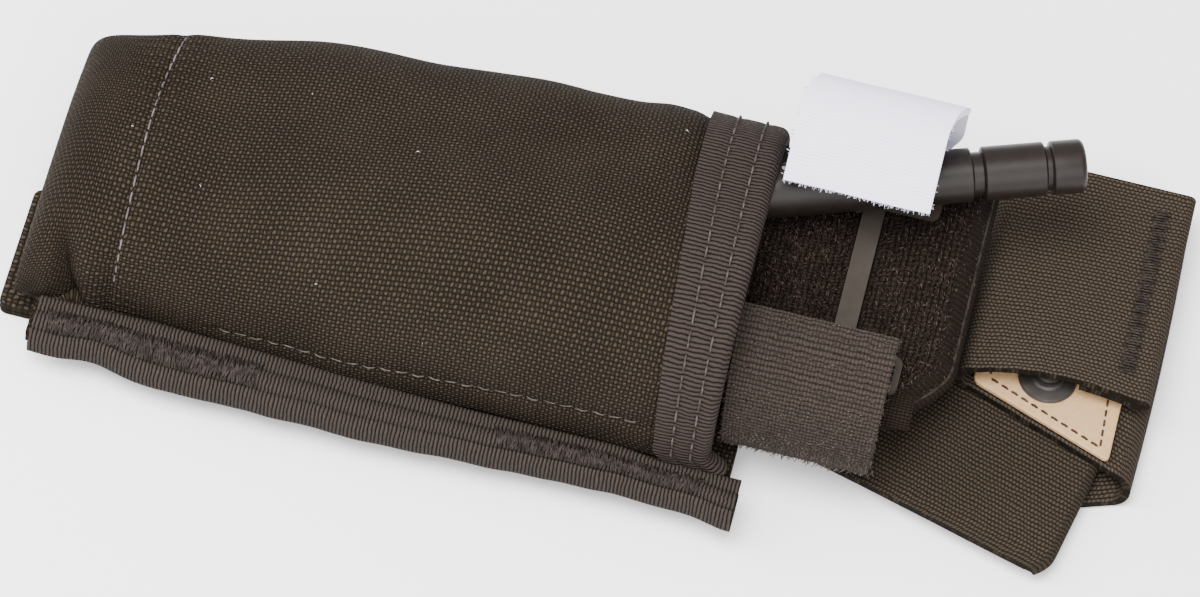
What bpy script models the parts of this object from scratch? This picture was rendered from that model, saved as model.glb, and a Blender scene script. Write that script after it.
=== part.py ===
"""A nylon pouch for a windlass tourniquet, lying on its back with the folded tourniquet in it.

Frame: +X runs from the pouch's closed end to its mouth, +Y to its far side and +Z up out of its front.
Most pieces are placed from the mouth's centre line, with z counted from the surface the pouch lies on.
"""

import math

import bmesh
import bpy
from mathutils import Matrix, Vector

# Where the mouth's centre line stands in the part's own frame
MOUTH_AT = Vector((0.031475, -0.00053, 0.0))
GAP = 0.0003

# Back of the pouch: lowest and highest z of each layer, from the ground up
STRAP_LEVELS = (0.0, 0.0026)
LADDER_LEVELS = (0.0029, 0.0043)
FACING_LEVELS = (0.0046, 0.0056)
PANEL_LEVELS = (0.0059, 0.0072)
FLANGE_Z = 0.00825
STIFFENER_LEVELS = (0.0075, 0.0087)
LINING_LEVELS = (0.0090, 0.0098)

# Front shell of the pouch
CLOSED_X = -0.1275
MOUTH_X = -0.0052
FLANGE_X = (-0.1255, -0.0010)
HALF_WIDTH = 0.0294
FLANGE_HALF = 0.0399
MOUTH_HEIGHT = 0.0380
CLOSED_HEIGHT = 0.0255
END_RADIUS = 0.012
SQUARENESS = 3.0
CLOTH = 0.0012

# Tapes and webbing
TAPE = 0.0009
TAPE_COVER = 0.0140
BINDING_LEVELS = (0.0046, 0.0100)
BINDING_INNER = 0.0314
BINDING_OUTER = 0.0423
FAR_FLANGE = (0.0250, 0.0330)
FAR_TAPER = (-0.1255, -0.0750)
FAR_FOOT = 0.0036
FAR_BINDING = (-0.0022, 0.0020)
FAR_BINDING_START = -0.1120
LINED_NEAR = -0.0258
LINED_FAR = 0.0196
WEBBING_WIDTH = 0.0254
LADDER_CENTRES = (-0.0915, -0.0533, -0.0151)
LADDER_ENDS = ((-0.0425, 0.0290), (-0.0400, 0.0330), (-0.0400, 0.0330))
ATTACH_X = (-0.1303, -0.0045)
FAR_ATTACH_END = -0.1262
ATTACH_Y = 0.0190
SNAP_X = -0.1160
SNAP_RADIUS = 0.0048

# Elastic retention strap, folded on itself beyond the mouth
ELASTIC = 0.0013
ELASTIC_WIDTH = 0.0500
LOWER_Z = 0.00095
UNDER_Z = 0.00255
ROOT_Z = 0.00415
RETURN_Z = 0.00575
TURN_X = 0.0643
TURN_RADIUS = 0.0024
ROOT_TURN = math.radians(-16.0)
RETURN_TURN = math.radians(-21.0)
RETURN_FAR_Y = 0.0440
END_FOLD_X = 0.0343
END_EDGE_X = 0.0663
END_NEAR = Vector((0.0, -0.0040, 0.0120))
END_FAR = Vector((0.0, 0.0446, 0.0093))

# Tourniquet: its stack of band lies a little lower on the near side
STACK_AT = Vector((0.0, -0.0025, 0.0144))
STACK_TILT = math.radians(4.0)
BAND = 0.0016
BAND_HALF = 0.0190
BAND_HEIGHT = 0.0062
BAND_X = (-0.1120, 0.0315)
CLIP_LEVELS = (0.0065, 0.0082)
SPINE_X = (0.0103, 0.0141)
SLOT_HALF = 0.0133
SLOT_BAR = 0.0012
STRAP_CENTRE_X = 0.0090

# Windlass rod, through the mouth at ROD_THROUGH and slightly askew to the pouch
ROD_THROUGH = Vector((0.0, 0.0130, 0.0300))
ROD_RUN = Vector((1.0, 0.365, 0.050)).normalized()
ROD_END_X = 0.0459
ROD_LENGTH = 0.1150
ROD_RADIUS = 0.00475
ROD_NECK = 0.0039
ROD_PIVOT_X = -0.0310
HOOK_X = 0.0122
HOOK_INNER = 0.0053
HOOK_OUTER = 0.0073

HEIGHT_RISE = (-0.118, -0.036)
CLOSED_SHARE = 0.92
WIDTH_RISE = (-0.125, -0.070)
FLARE_Z = (0.0093, 0.0115)
FLARE_START = -0.030
MOUTH_SETBACK = 0.0022
BINDING_SETBACK = 0.0008
BINDING_BEND = 0.0012
FACING_SETBACK = 0.0005
FACING_GAP = 0.0015
FACING_FAR_IN = 0.0038
STIFFENER_X = (-0.1220, MOUTH_X - 0.0028)
STIFFENER_CORNER = 0.004
LINING_X = (-0.1225, MOUTH_X - 0.0020)
LINING_CORNER = 0.003
LADDER_CORNER = 0.002
ATTACH_CORNER = 0.0015
STRAP_STUD_LEVELS = (0.0029, 0.0035)
BACK_SOCKET_LEVELS = (0.0038, 0.0043)

ROOT_START = (0.0190, 0.0004)
ROOT_EDGE_X = 0.0006
TURN_Y = 0.0078
HEM_WIDTH = 0.0122
PATCH_SIZE = (0.0262, 0.0215)
PATCH_THICK = 0.0011
PATCH_CORNER = 0.0012
PATCH_AT = (0.0620, -0.0134)
SNAP_AT = (0.0484, 0.0008)
DISC_RADIUS = 0.0052
DISC_THICK = 0.0009
STUD_RADIUS = 0.0022
STUD_TOP = 0.0023
SOCKET_X = -0.0343
SOCKET_LEVELS = (0.0027, 0.0043)

BUCKLE_LOW = (-0.1000, -0.0190, 0.0065)
BUCKLE_HIGH = (-0.0870, 0.0190, 0.0085)
BUCKLE_CORNER = 0.002
BUCKLE_SLOTS = (-0.0968, -0.0902)
BUCKLE_SLOT = (0.0013, 0.0165)
SPINE_Y = (-0.0120, 0.0240)
CLIP_ENDS = (("near", -0.0155, -0.0085), ("far", 0.0205, 0.0280))
CLIP_SLOTS = (("near", -0.0136, -0.0104), ("far", 0.0226, 0.0258))
ROD_NOSE = 0.0037
ROD_CHAMFER = 0.0012
ROD_GROOVES = ((0.0059, 0.0071), (0.0180, 0.0201))
GROOVE_SLOPE = 0.0001

COLOURS = {
    "cordura": ((0.054, 0.045, 0.034), 0.9),
    "grosgrain": ((0.089, 0.074, 0.066), 0.85),
    "webbing": ((0.070, 0.060, 0.048), 0.85),
    "elastic": ((0.061, 0.053, 0.040), 0.85),
    "leather": ((0.578, 0.456, 0.342), 0.6),
    "snap_metal": ((0.060, 0.056, 0.053), 0.35),
    "rod_plastic": ((0.061, 0.052, 0.046), 0.4),
    "clip_plastic": ((0.122, 0.114, 0.096), 0.5),
    "time_cloth": ((0.807, 0.791, 0.880), 0.8),
    "hook_tape": ((0.141, 0.122, 0.102), 0.8),
    "pile": ((0.017, 0.014, 0.013), 0.95),
    "board": ((0.030, 0.030, 0.030), 0.6),
}
METAL = ("snap_metal",)


# ---------------------------------------------------------------- helpers

def clear_scene():
    for item in list(bpy.data.objects):
        bpy.data.objects.remove(item, do_unlink=True)


def collection(name):
    made = bpy.data.collections.new(name)
    bpy.context.scene.collection.children.link(made)
    return made


def material(slot):
    found = bpy.data.materials.get(slot)
    if found:
        return found
    made = bpy.data.materials.new(slot)
    made.use_nodes = True
    colour, roughness = COLOURS[slot]
    shader = made.node_tree.nodes["Principled BSDF"]
    shader.inputs["Base Color"].default_value = (*colour, 1.0)
    shader.inputs["Roughness"].default_value = roughness
    shader.inputs["Metallic"].default_value = 0.8 if slot in METAL else 0.0
    return made


def empty(name, parent, at=(0.0, 0.0, 0.0), turn=(0.0, 0.0, 0.0)):
    made = bpy.data.objects.new(name, None)
    made.empty_display_size = 0.01
    made.location = at
    made.rotation_euler = turn
    made.parent = parent
    PARTS.objects.link(made)
    return made


def add_object(name, bm, slot, parent, group=None):
    """A mesh object from bm; its points are in its parent's frame, less the object's own location."""
    mesh = bpy.data.meshes.new(name)
    bm.to_mesh(mesh)
    bm.free()
    made = bpy.data.objects.new(name, mesh)
    made.parent = parent
    if slot:
        mesh.materials.append(material(slot))
    (group or PARTS).objects.link(made)
    return made


def cube_mesh(low, high, corner=0.0):
    """A block between two corners, its upright edges rounded by corner."""
    bm = bmesh.new()
    bmesh.ops.create_cube(bm, size=1.0)
    low = Vector(low)
    high = Vector(high)
    size = high - low
    bmesh.ops.scale(bm, vec=size, verts=bm.verts)
    bmesh.ops.translate(bm, vec=(low + high) / 2, verts=bm.verts)
    if corner:
        upright = [e for e in bm.edges if abs(e.verts[0].co.z - e.verts[1].co.z) > size.z / 2]
        bmesh.ops.bevel(bm, geom=upright, offset=corner, segments=3, affect="EDGES", profile=0.5)
    return bm


def plate(name, low, high, slot, parent, corner=0.0):
    return add_object(name, cube_mesh(low, high, corner), slot, parent)


def disc(name, centre, radius, levels, slot, parent, sides=20):
    bm = bmesh.new()
    bmesh.ops.create_cone(
        bm, cap_ends=True, segments=sides, radius1=radius, radius2=radius, depth=levels[1] - levels[0]
    )
    middle = (levels[0] + levels[1]) / 2
    bmesh.ops.translate(bm, vec=(centre[0], centre[1], middle), verts=bm.verts)
    return add_object(name, bm, slot, parent)


def sheet(name, across, along, place, thickness, slot, parent, closed=False):
    """A cloth solid: a grid whose points place(u, v) sets, u and v from 0 to 1, thickened both ways."""
    bm = bmesh.new()
    bmesh.ops.create_grid(bm, x_segments=across, y_segments=along, size=0.5)
    for vert in bm.verts:
        vert.co = place(vert.co.x + 0.5, vert.co.y + 0.5)
    if closed:
        bmesh.ops.remove_doubles(bm, verts=bm.verts, dist=0.000001)
    made = add_object(name, bm, slot, parent)
    solid = made.modifiers.new("thickness", "SOLIDIFY")
    solid.thickness = thickness
    solid.offset = 0.0
    solid.use_even_offset = True
    return made


def smooth_path(points, u):
    """A point at u, from 0 to 1, on a Catmull-Rom curve through points."""
    spans = len(points) - 1
    k = min(int(u * spans), spans - 1)
    f = u * spans - k
    a = points[max(k - 1, 0)]
    b = points[k]
    c = points[k + 1]
    d = points[min(k + 2, spans)]
    return tuple(
        0.5 * (2 * q + (r - p) * f + (2 * p - 5 * q + 4 * r - s) * f * f + (3 * q - p - 3 * r + s) * f ** 3)
        for p, q, r, s in zip(a, b, c, d)
    )


def ribbon(name, route, x_span, thickness, slot, parent, steps):
    """A strap bent in the Y-Z plane along route, as wide as x_span."""

    def place(u, v):
        y, z = smooth_path(route, u)
        return Vector((x_span[0] + (x_span[1] - x_span[0]) * v, y, z))

    return sheet(name, steps, 1, place, thickness, slot, parent)


def ease(value, low, high):
    f = min(max((value - low) / (high - low), 0.0), 1.0)
    return f * f * (3 - 2 * f)


# ---------------------------------------------------------------- pouch

def far_flange(x):
    """The far flange's edge, which draws in towards the closed end."""
    return FAR_FLANGE[0] + (FAR_FLANGE[1] - FAR_FLANGE[0]) * ease(x, *FAR_TAPER)


def section_point(x, t, offset=0.0):
    """Y and Z of the front shell at x, with t from pi on the near side to 0 on the far side."""
    height = CLOSED_HEIGHT + (MOUTH_HEIGHT - CLOSED_HEIGHT) * ease(x, *HEIGHT_RISE)
    half = HALF_WIDTH * (CLOSED_SHARE + (1 - CLOSED_SHARE) * ease(x, *WIDTH_RISE))
    if math.cos(t) > 0:
        half = far_flange(x) - FAR_FOOT
    rise = height - FLANGE_Z
    if x < CLOSED_X + END_RADIUS:
        back = (CLOSED_X + END_RADIUS - x) / END_RADIUS
        rise *= max(1.0 - back ** SQUARENESS, 0.0) ** (1 / SQUARENESS)
    cosine = math.cos(t)
    sine = math.sin(t)
    k = (abs(cosine) ** SQUARENESS + abs(sine) ** SQUARENESS) ** (-1 / SQUARENESS)
    point = Vector((half * cosine * k, FLANGE_Z + rise * sine * k))
    if offset:
        step = 0.02
        before = section_point(x, min(t + step, math.pi))
        after = section_point(x, max(t - step, 0.0))
        run = (after - before).normalized()
        point += Vector((-run.y, run.x)) * offset
    return point


def flare(x, z):
    """How far the mouth's edge reaches on beyond MOUTH_X, low down where it joins the flanges."""
    return (FLANGE_X[1] - MOUTH_X) * (1 - ease(z, *FLARE_Z)) * ease(x, FLARE_START, MOUTH_X)


def pouch_body(parent):
    rings = [CLOSED_X + END_RADIUS * (1 - math.cos(math.radians(a))) for a in (0, 32, 48, 64, 90)]
    start = rings[-1]
    runs = 9
    end = MOUTH_X - MOUTH_SETBACK
    rings += [start + (end - start) * (k + 1) / runs for k in range(runs)]
    around = 22
    flange_steps = 2

    def place(u, v):
        x = rings[round(u * (len(rings) - 1))]
        step = round(v * (around + 2 * flange_steps)) - flange_steps
        if 0 <= step <= around:
            y, z = section_point(x, math.pi * (1 - step / around))
            return Vector((x + flare(x, z), y, z))
        beyond = -step if step < 0 else step - around
        side = -1 if step < 0 else 1
        foot = section_point(x, 0.0 if side > 0 else math.pi).x
        edge = far_flange(x) if side > 0 else -FLANGE_HALF
        y = foot + (edge - foot) * beyond / flange_steps
        low = CLOSED_X + END_RADIUS
        if x < low:
            x = FLANGE_X[0] + (x - CLOSED_X) * (low - FLANGE_X[0]) / (low - CLOSED_X)
        return Vector((x + flare(x, FLANGE_Z), y, FLANGE_Z))

    return sheet(
        "pouch_body", len(rings) - 1, around + 2 * flange_steps, place, CLOTH, "cordura", parent
    )


def mouth_binding(parent):
    """The tape folded over the mouth's edge, from the near flange up and over to the far one."""
    turn = CLOTH / 2 + 2 * GAP + TAPE / 2
    hidden = turn + TAPE / 2
    fold = [(-TAPE_COVER, turn), (-TAPE_COVER / 2, turn), (-hidden, turn)]
    fold += [
        (-hidden + turn * math.cos(math.radians(a)), turn * math.sin(math.radians(a)))
        for a in (60, 30, 0, -30, -60)
    ]
    fold += [(-hidden, -turn), (-TAPE_COVER / 2, -turn), (-TAPE_COVER, -turn)]
    around = 20
    lift = 0.15

    def place(u, v):
        back, offset = fold[round(u * (len(fold) - 1))]
        t = math.pi - lift - (math.pi - 2 * lift) * v
        x = MOUTH_X + back
        y, z = section_point(MOUTH_X, t, offset)
        edge = section_point(MOUTH_X, t).y
        return Vector((x + flare(MOUTH_X, edge), y, z))

    return sheet("mouth_binding", len(fold) - 1, around, place, TAPE, "grosgrain", parent)


def side_binding(name, side, parent):
    """A tape folded over one flange, its open side towards the pouch."""
    low = BINDING_LEVELS[0] + TAPE / 2
    high = BINDING_LEVELS[1] - TAPE / 2
    span = FAR_BINDING if side > 0 else (BINDING_INNER, BINDING_OUTER)
    start = FAR_BINDING_START if side > 0 else FLANGE_X[0] + BINDING_SETBACK
    outer = span[1] - TAPE / 2
    fold = [
        (span[0], low),
        (outer - BINDING_BEND, low),
        (outer, low + BINDING_BEND),
        (outer, high - BINDING_BEND),
        (outer - BINDING_BEND, high),
        (span[0], high),
    ]

    def place(u, v):
        y, z = fold[round(u * (len(fold) - 1))]
        x = start + (FLANGE_X[1] - start) * v
        return Vector((x, far_flange(x) + y if side > 0 else -y, z))

    return sheet(name, len(fold) - 1, 14, place, TAPE, "grosgrain", parent)


def back_layer(name, x_span, near, far_in, levels, parent):
    """A flat layer of the back, from its near edge to a little inside the far flange's edge."""

    def place(u, v):
        x = x_span[0] + (x_span[1] - x_span[0]) * v
        far = far_flange(x) - far_in
        return Vector((x, far + (near - far) * u, (levels[0] + levels[1]) / 2))

    return sheet(name, 1, 14, place, levels[1] - levels[0], "cordura", parent)


def back_layers(parent):
    back_layer("back_panel", FLANGE_X, -FLANGE_HALF, 0.0, PANEL_LEVELS, parent)
    inner = (FLANGE_X[0] + FACING_SETBACK, FLANGE_X[1] - FACING_SETBACK)
    back_layer("back_facing", inner, FACING_GAP - BINDING_INNER, FACING_FAR_IN, FACING_LEVELS, parent)
    plate(
        "back_stiffener",
        (STIFFENER_X[0], LINED_NEAR, STIFFENER_LEVELS[0]),
        (STIFFENER_X[1], LINED_FAR, STIFFENER_LEVELS[1]),
        "board",
        parent,
        STIFFENER_CORNER,
    )
    plate(
        "back_lining",
        (LINING_X[0], LINED_NEAR, LINING_LEVELS[0]),
        (LINING_X[1], LINED_FAR, LINING_LEVELS[1]),
        "cordura",
        parent,
        LINING_CORNER,
    )


def ladder_webbing(parent):
    half = WEBBING_WIDTH / 2
    for number, (x, ends) in enumerate(zip(LADDER_CENTRES, LADDER_ENDS), start=1):
        plate(
            f"ladder_webbing_{number}",
            (x - half, ends[0], LADDER_LEVELS[0]),
            (x + half, ends[1], LADDER_LEVELS[1]),
            "webbing",
            parent,
            LADDER_CORNER,
        )


def attachment_strap(side, name, parent):
    """One strap on the back, hinged where it is sewn in at the mouth, with its snap at the closed end."""
    hinge = empty(f"{name}_hinge", parent, (ATTACH_X[1], side * ATTACH_Y, LADDER_LEVELS[0]))
    end = FAR_ATTACH_END if side > 0 else ATTACH_X[0]
    low = Vector((end - ATTACH_X[1], -WEBBING_WIDTH / 2, STRAP_LEVELS[0] - LADDER_LEVELS[0]))
    high = Vector((0.0, WEBBING_WIDTH / 2, STRAP_LEVELS[1] - LADDER_LEVELS[0]))
    plate(f"attachment_strap_{name}", low, high, "webbing", hinge, ATTACH_CORNER)
    stud_levels = [z - LADDER_LEVELS[0] for z in STRAP_STUD_LEVELS]
    disc(f"strap_snap_stud_{name}", (SNAP_X - ATTACH_X[1], 0.0), SNAP_RADIUS, stud_levels,
         "snap_metal", hinge)
    disc(f"back_snap_socket_{name}", (SNAP_X, side * ATTACH_Y), SNAP_RADIUS, BACK_SOCKET_LEVELS,
         "snap_metal", parent)


# ---------------------------------------------------------------- retention strap

def run_frame(origin, turn):
    """Axes of a strap run: along it, across it, from a point on its middle line."""
    along = Vector((math.cos(turn), math.sin(turn), 0.0))
    across = Vector((-math.sin(turn), math.cos(turn), 0.0))
    return Vector(origin), along, across


def root_run(parent):
    """From the back panel's edge to a fold, and back under itself."""
    origin, along, across = run_frame((*ROOT_START, ROOT_Z), ROOT_TURN)
    radius = (ROOT_Z - UNDER_Z) / 2
    length = 0.0428
    back = 0.0215
    skew = math.tan(math.radians(5.0))
    rows = [("start", 0.0), ("run", 0.0)]
    rows += [("turn", math.radians(a)) for a in (0, 30, 60, 90, 120, 150, 180)]
    rows += [("back", back)]

    def place(u, v):
        kind, value = rows[round(u * (len(rows) - 1))]
        t = ELASTIC_WIDTH * (v - 0.5)
        edge = length - t * skew - radius
        drop = 0.0
        if kind == "start":
            point = origin + across * t
            return point + along * ((ROOT_EDGE_X - point.x) / along.x)
        if kind == "turn":
            edge += radius * math.sin(value)
            drop = radius * (1 - math.cos(value))
        elif kind == "back":
            edge -= value
            drop = 2 * radius
        return origin + across * t + along * (edge if kind != "run" else 0.0) - Vector((0, 0, drop))

    return sheet("strap_root_run", len(rows) - 1, 2, place, ELASTIC, "elastic", parent)


def lower_run(parent):
    """The lowest run, with the first quarter of the turn at its right-hand end."""
    origin, along, across = run_frame((TURN_X, TURN_Y, LOWER_Z), -RETURN_TURN)
    rows = [("start", 0.0)] + [("turn", math.radians(a)) for a in (0, 22, 45, 67, 90)]

    def place(u, v):
        kind, value = rows[round(u * (len(rows) - 1))]
        t = ELASTIC_WIDTH * (v - 0.5)
        point = origin + across * t
        point += along * ((TURN_X - point.x) / along.x)
        if kind == "start":
            return point - along * 0.0215
        turned = Vector((math.sin(value), value * math.tan(-RETURN_TURN), 1 - math.cos(value)))
        return point + turned * TURN_RADIUS

    return sheet("strap_lower_run", len(rows) - 1, 2, place, ELASTIC, "elastic", parent)


def return_run(hinge):
    """The run above it, from the turn back to the left-hand fold; its points are from the hinge."""
    start = TURN_X - GAP
    rise = RETURN_Z - LOWER_Z - TURN_RADIUS
    low = Vector((start - TURN_X, -0.0146, rise))
    slope = math.tan(-RETURN_TURN)

    def place(u, v):
        x = low.x + (END_FOLD_X - start) * u
        near = low.y - x * slope
        far = min(near + ELASTIC_WIDTH / math.cos(RETURN_TURN), RETURN_FAR_Y)
        return Vector((x, near + (far - near) * v, rise))

    return sheet("strap_return_run", 2, 2, place, ELASTIC, "elastic", hinge)


def end_run(hinge):
    """The free end on top, lower at its far edge, with a rolled hem at its right-hand edge."""
    across = END_FAR - END_NEAR
    hem = HEM_WIDTH
    length = END_EDGE_X - END_FOLD_X - GAP
    near_slope = math.tan(math.radians(3.0))

    def at(x, f):
        return across * f + Vector((x, x * near_slope * (1 - f), 0.0))

    def run_place(u, v):
        return at(GAP + (length - GAP) * u, v)

    def hem_place(u, v):
        level = Vector((0.0, 0.0, -ELASTIC - GAP))
        return at(length - hem + hem * u, 0.003 + 0.994 * v) + level

    sheet("strap_end_run", 3, 3, run_place, ELASTIC, "elastic", hinge)
    sheet("strap_end_hem", 1, 3, hem_place, ELASTIC, "elastic", hinge)


def snap_patch(hinge):
    """The leather patch that carries the snap, on the upper side of the return run."""
    top = RETURN_Z + ELASTIC / 2 - LOWER_Z - TURN_RADIUS + GAP
    bm = cube_mesh((-PATCH_SIZE[0], 0.0, top), (0.0, PATCH_SIZE[1], top + PATCH_THICK), PATCH_CORNER)
    slope = math.tan(RETURN_TURN)
    for vert in bm.verts:
        vert.co.y += vert.co.x * slope
    bmesh.ops.translate(bm, vec=(PATCH_AT[0] - TURN_X, PATCH_AT[1], 0.0), verts=bm.verts)
    add_object("snap_patch", bm, "leather", hinge)
    above = top + PATCH_THICK + GAP
    centre = (SNAP_AT[0] - TURN_X, SNAP_AT[1])
    disc("snap_disc", centre, DISC_RADIUS, (above, above + DISC_THICK), "snap_metal", hinge, 24)
    stud_levels = (above + DISC_THICK + GAP, above + STUD_TOP)
    disc("snap_stud", centre, STUD_RADIUS, stud_levels, "snap_metal", hinge, 16)


def retention_strap(parent):
    root_run(parent)
    lower_run(parent)
    turn_hinge = empty("strap_turn_hinge", parent, (TURN_X, 0.0, LOWER_Z + TURN_RADIUS))
    return_run(turn_hinge)
    snap_patch(turn_hinge)
    end_at = Vector((END_FOLD_X, 0.0, 0.0)) + END_NEAR - turn_hinge.location
    end_run(empty("strap_end_hinge", turn_hinge, end_at))
    disc("snap_socket", (SOCKET_X, 0.0), DISC_RADIUS, SOCKET_LEVELS, "snap_metal", parent, 24)


# ---------------------------------------------------------------- tourniquet

def band_loop(name, x_span, levels, half, thickness, slot, parent, bend_steps=6):
    """A flat loop of band seen from its edge as a long ring."""
    middle = (levels[0] + levels[1]) / 2
    radius = (levels[1] - levels[0] - thickness) / 2
    right = x_span[1] - thickness / 2 - radius
    left = x_span[0] + thickness / 2 + radius
    ring = []
    for k in range(bend_steps + 1):
        a = math.pi * k / bend_steps - math.pi / 2
        ring.append((right + radius * math.cos(a), middle + radius * math.sin(a)))
    for k in range(bend_steps + 1):
        a = math.pi * k / bend_steps + math.pi / 2
        ring.append((left + radius * math.cos(a), middle + radius * math.sin(a)))
    ring.append(ring[0])

    def place(u, v):
        x, z = ring[round(u * (len(ring) - 1))]
        return Vector((x, half * (2 * v - 1), z))

    return sheet(name, len(ring) - 1, 2, place, thickness, slot, parent, closed=True)


def friction_buckle(parent):
    """A flat two-slot buckle at the closed end of the stack."""
    frame = plate(
        "friction_buckle", BUCKLE_LOW, BUCKLE_HIGH, "clip_plastic", parent, BUCKLE_CORNER,
    )
    for k, x in enumerate(BUCKLE_SLOTS):
        low = (x - BUCKLE_SLOT[0], -BUCKLE_SLOT[1], BUCKLE_LOW[2] - 0.001)
        high = (x + BUCKLE_SLOT[0], BUCKLE_SLOT[1], BUCKLE_HIGH[2] + 0.001)
        cut(frame, f"buckle_slot_{k}", low, high, parent)


def cut(target, name, low, high, parent):
    cutter = add_object(name, cube_mesh(low, high), None, parent, CUTTERS)
    cutter.hide_render = True
    cutter.display_type = "WIRE"
    boolean = target.modifiers.new(name, "BOOLEAN")
    boolean.operation = "DIFFERENCE"
    boolean.object = cutter


def join_on(target, piece):
    """Unites a helper piece with target and keeps the helper out of the build."""
    piece.hide_render = True
    piece.display_type = "WIRE"
    boolean = target.modifiers.new(piece.name, "BOOLEAN")
    boolean.operation = "UNION"
    boolean.object = piece


def windlass_clip(parent):
    """A spine between two slotted end frames, with a hook round the rod."""
    low, high = CLIP_LEVELS
    x_low = STRAP_CENTRE_X - SLOT_HALF - SLOT_BAR
    x_high = STRAP_CENTRE_X + SLOT_HALF + SLOT_BAR
    clip = plate("windlass_clip", (SPINE_X[0], SPINE_Y[0], low), (SPINE_X[1], SPINE_Y[1], high),
                 "clip_plastic", parent)
    for name, y_low, y_high in CLIP_ENDS:
        frame = add_object(
            f"clip_frame_{name}",
            cube_mesh((x_low, y_low, low + 0.00001), (x_high, y_high, high - 0.00001), 0.0015),
            None, parent, CUTTERS,
        )
        join_on(clip, frame)
    hook = add_object("clip_hook", hook_mesh(), None, parent, CUTTERS)
    join_on(clip, hook)
    for name, y_low, y_high in CLIP_SLOTS:
        cut(clip, f"clip_slot_{name}", (STRAP_CENTRE_X - SLOT_HALF, y_low, low - 0.001),
            (STRAP_CENTRE_X + SLOT_HALF, y_high, high + 0.001), parent)


def rod_point(x):
    return ROD_THROUGH + ROD_RUN * (x / ROD_RUN.x)


def rod_axes():
    """A rotation whose Z lies along the rod and whose Y points up."""
    side = Vector((0.0, 0.0, 1.0)).cross(ROD_RUN).normalized()
    up = ROD_RUN.cross(side)
    return Matrix((side, up, ROD_RUN)).transposed()


def hook_mesh():
    """A C round the rod, open towards the near side; its points are in the parent's frame."""
    bm = bmesh.new()
    angles = [math.radians(a) for a in range(-100, 101, 20)]
    inner = [Vector((math.cos(a), math.sin(a), 0.0)) * HOOK_INNER for a in angles]
    outer = [Vector((math.cos(a), math.sin(a), 0.0)) * HOOK_OUTER for a in reversed(angles)]
    face = bm.faces.new([bm.verts.new(co) for co in inner + outer])
    raised = bmesh.ops.extrude_face_region(bm, geom=[face])["geom"]
    tops = [item for item in raised if isinstance(item, bmesh.types.BMVert)]
    bmesh.ops.translate(bm, vec=(0.0, 0.0, 0.008), verts=tops)
    bmesh.ops.translate(bm, vec=(0.0, 0.0, -0.004), verts=bm.verts)
    bmesh.ops.recalc_face_normals(bm, faces=bm.faces)
    side = rod_axes()
    place = Matrix.Translation(rod_point(HOOK_X)) @ side.to_4x4()
    local = Matrix.Translation(STACK_AT) @ Matrix.Rotation(STACK_TILT, 4, "X")
    bmesh.ops.transform(bm, matrix=local.inverted() @ place, verts=bm.verts)
    return bm


def windlass_rod(hinge):
    """A turned rod with a cap, a groove behind it and a second one, slotted for the ribbon."""
    top = ROD_LENGTH / 2
    profile = [(0.0, top), (ROD_NOSE, top), (ROD_RADIUS, top - ROD_CHAMFER)]
    for groove_top, groove_bottom in ROD_GROOVES:
        profile += [(ROD_RADIUS, top - groove_top), (ROD_NECK, top - groove_top - GROOVE_SLOPE)]
        profile += [(ROD_NECK, top - groove_bottom + GROOVE_SLOPE), (ROD_RADIUS, top - groove_bottom)]
    profile += [(ROD_RADIUS, ROD_CHAMFER - top), (ROD_NOSE, -top), (0.0, -top)]
    bm = bmesh.new()
    verts = [bm.verts.new((r, 0.0, z)) for r, z in profile]
    for a, b in zip(verts, verts[1:]):
        bm.edges.new((a, b))
    rod = add_object("windlass_rod", bm, "rod_plastic", hinge)
    rod.matrix_local = Matrix.Translation(rod_middle() - hinge.location) @ rod_axes().to_4x4()
    screw = rod.modifiers.new("turned", "SCREW")
    screw.steps = 24
    screw.render_steps = 24
    screw.use_merge_vertices = True
    screw.merge_threshold = 0.00001
    slot_at = (rod_point(ROD_PIVOT_X) - rod_middle()).dot(ROD_RUN)
    cut(rod, "rod_slot", (-0.0011, -0.010, slot_at - 0.0105), (0.0011, 0.010, slot_at + 0.0105), rod)


def rod_middle():
    return rod_point(ROD_END_X) - ROD_RUN * (ROD_LENGTH / 2)


def inner_ribbon(hinge):
    """The ribbon through the rod's slot, over the rod and down its near side."""
    route = [(0.0, -0.0067), (0.0, -0.0030), (0.0, 0.0030), (-0.0012, 0.0058), (-0.0045, 0.0048),
             (-0.0062, 0.0010), (-0.0064, -0.0032), (-0.0064, -0.0066)]
    width = 0.0190

    def place(u, v):
        y, z = smooth_path(route, u)
        return Vector((y, z, width * (v - 0.5)))

    made = sheet("inner_ribbon", 21, 1, place, 0.0008, "webbing", hinge)
    made.matrix_local = rod_axes().to_4x4()


def tourniquet(parent):
    slide = empty("tourniquet_slide_frame", parent)
    stack = empty("tourniquet_stack", slide, STACK_AT, (STACK_TILT, 0.0, 0.0))
    band_loop("tourniquet_band", BAND_X, (0.0, BAND_HEIGHT), BAND_HALF, BAND, "pile", stack, 8)
    band_loop("spare_band_fold", (-0.1050, -0.0600), (0.0019, 0.0043), BAND_HALF - 0.001, 0.0007,
              "pile", stack)
    plate("stabilisation_plate", (-0.0550, -0.0180, 0.0020), (0.0250, 0.0180, 0.0036), "clip_plastic",
          stack, 0.004)
    plate("band_end_tip", (0.0224, -0.0222, 0.0039), (0.0285, -0.0120, 0.0043), "grosgrain", stack)
    friction_buckle(stack)
    windlass_clip(stack)

    pivot = rod_point(ROD_PIVOT_X)
    hinge = empty("windlass_hinge", slide, pivot)
    windlass_rod(hinge)
    inner_ribbon(hinge)
    ends_on_clip(slide)


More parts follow.
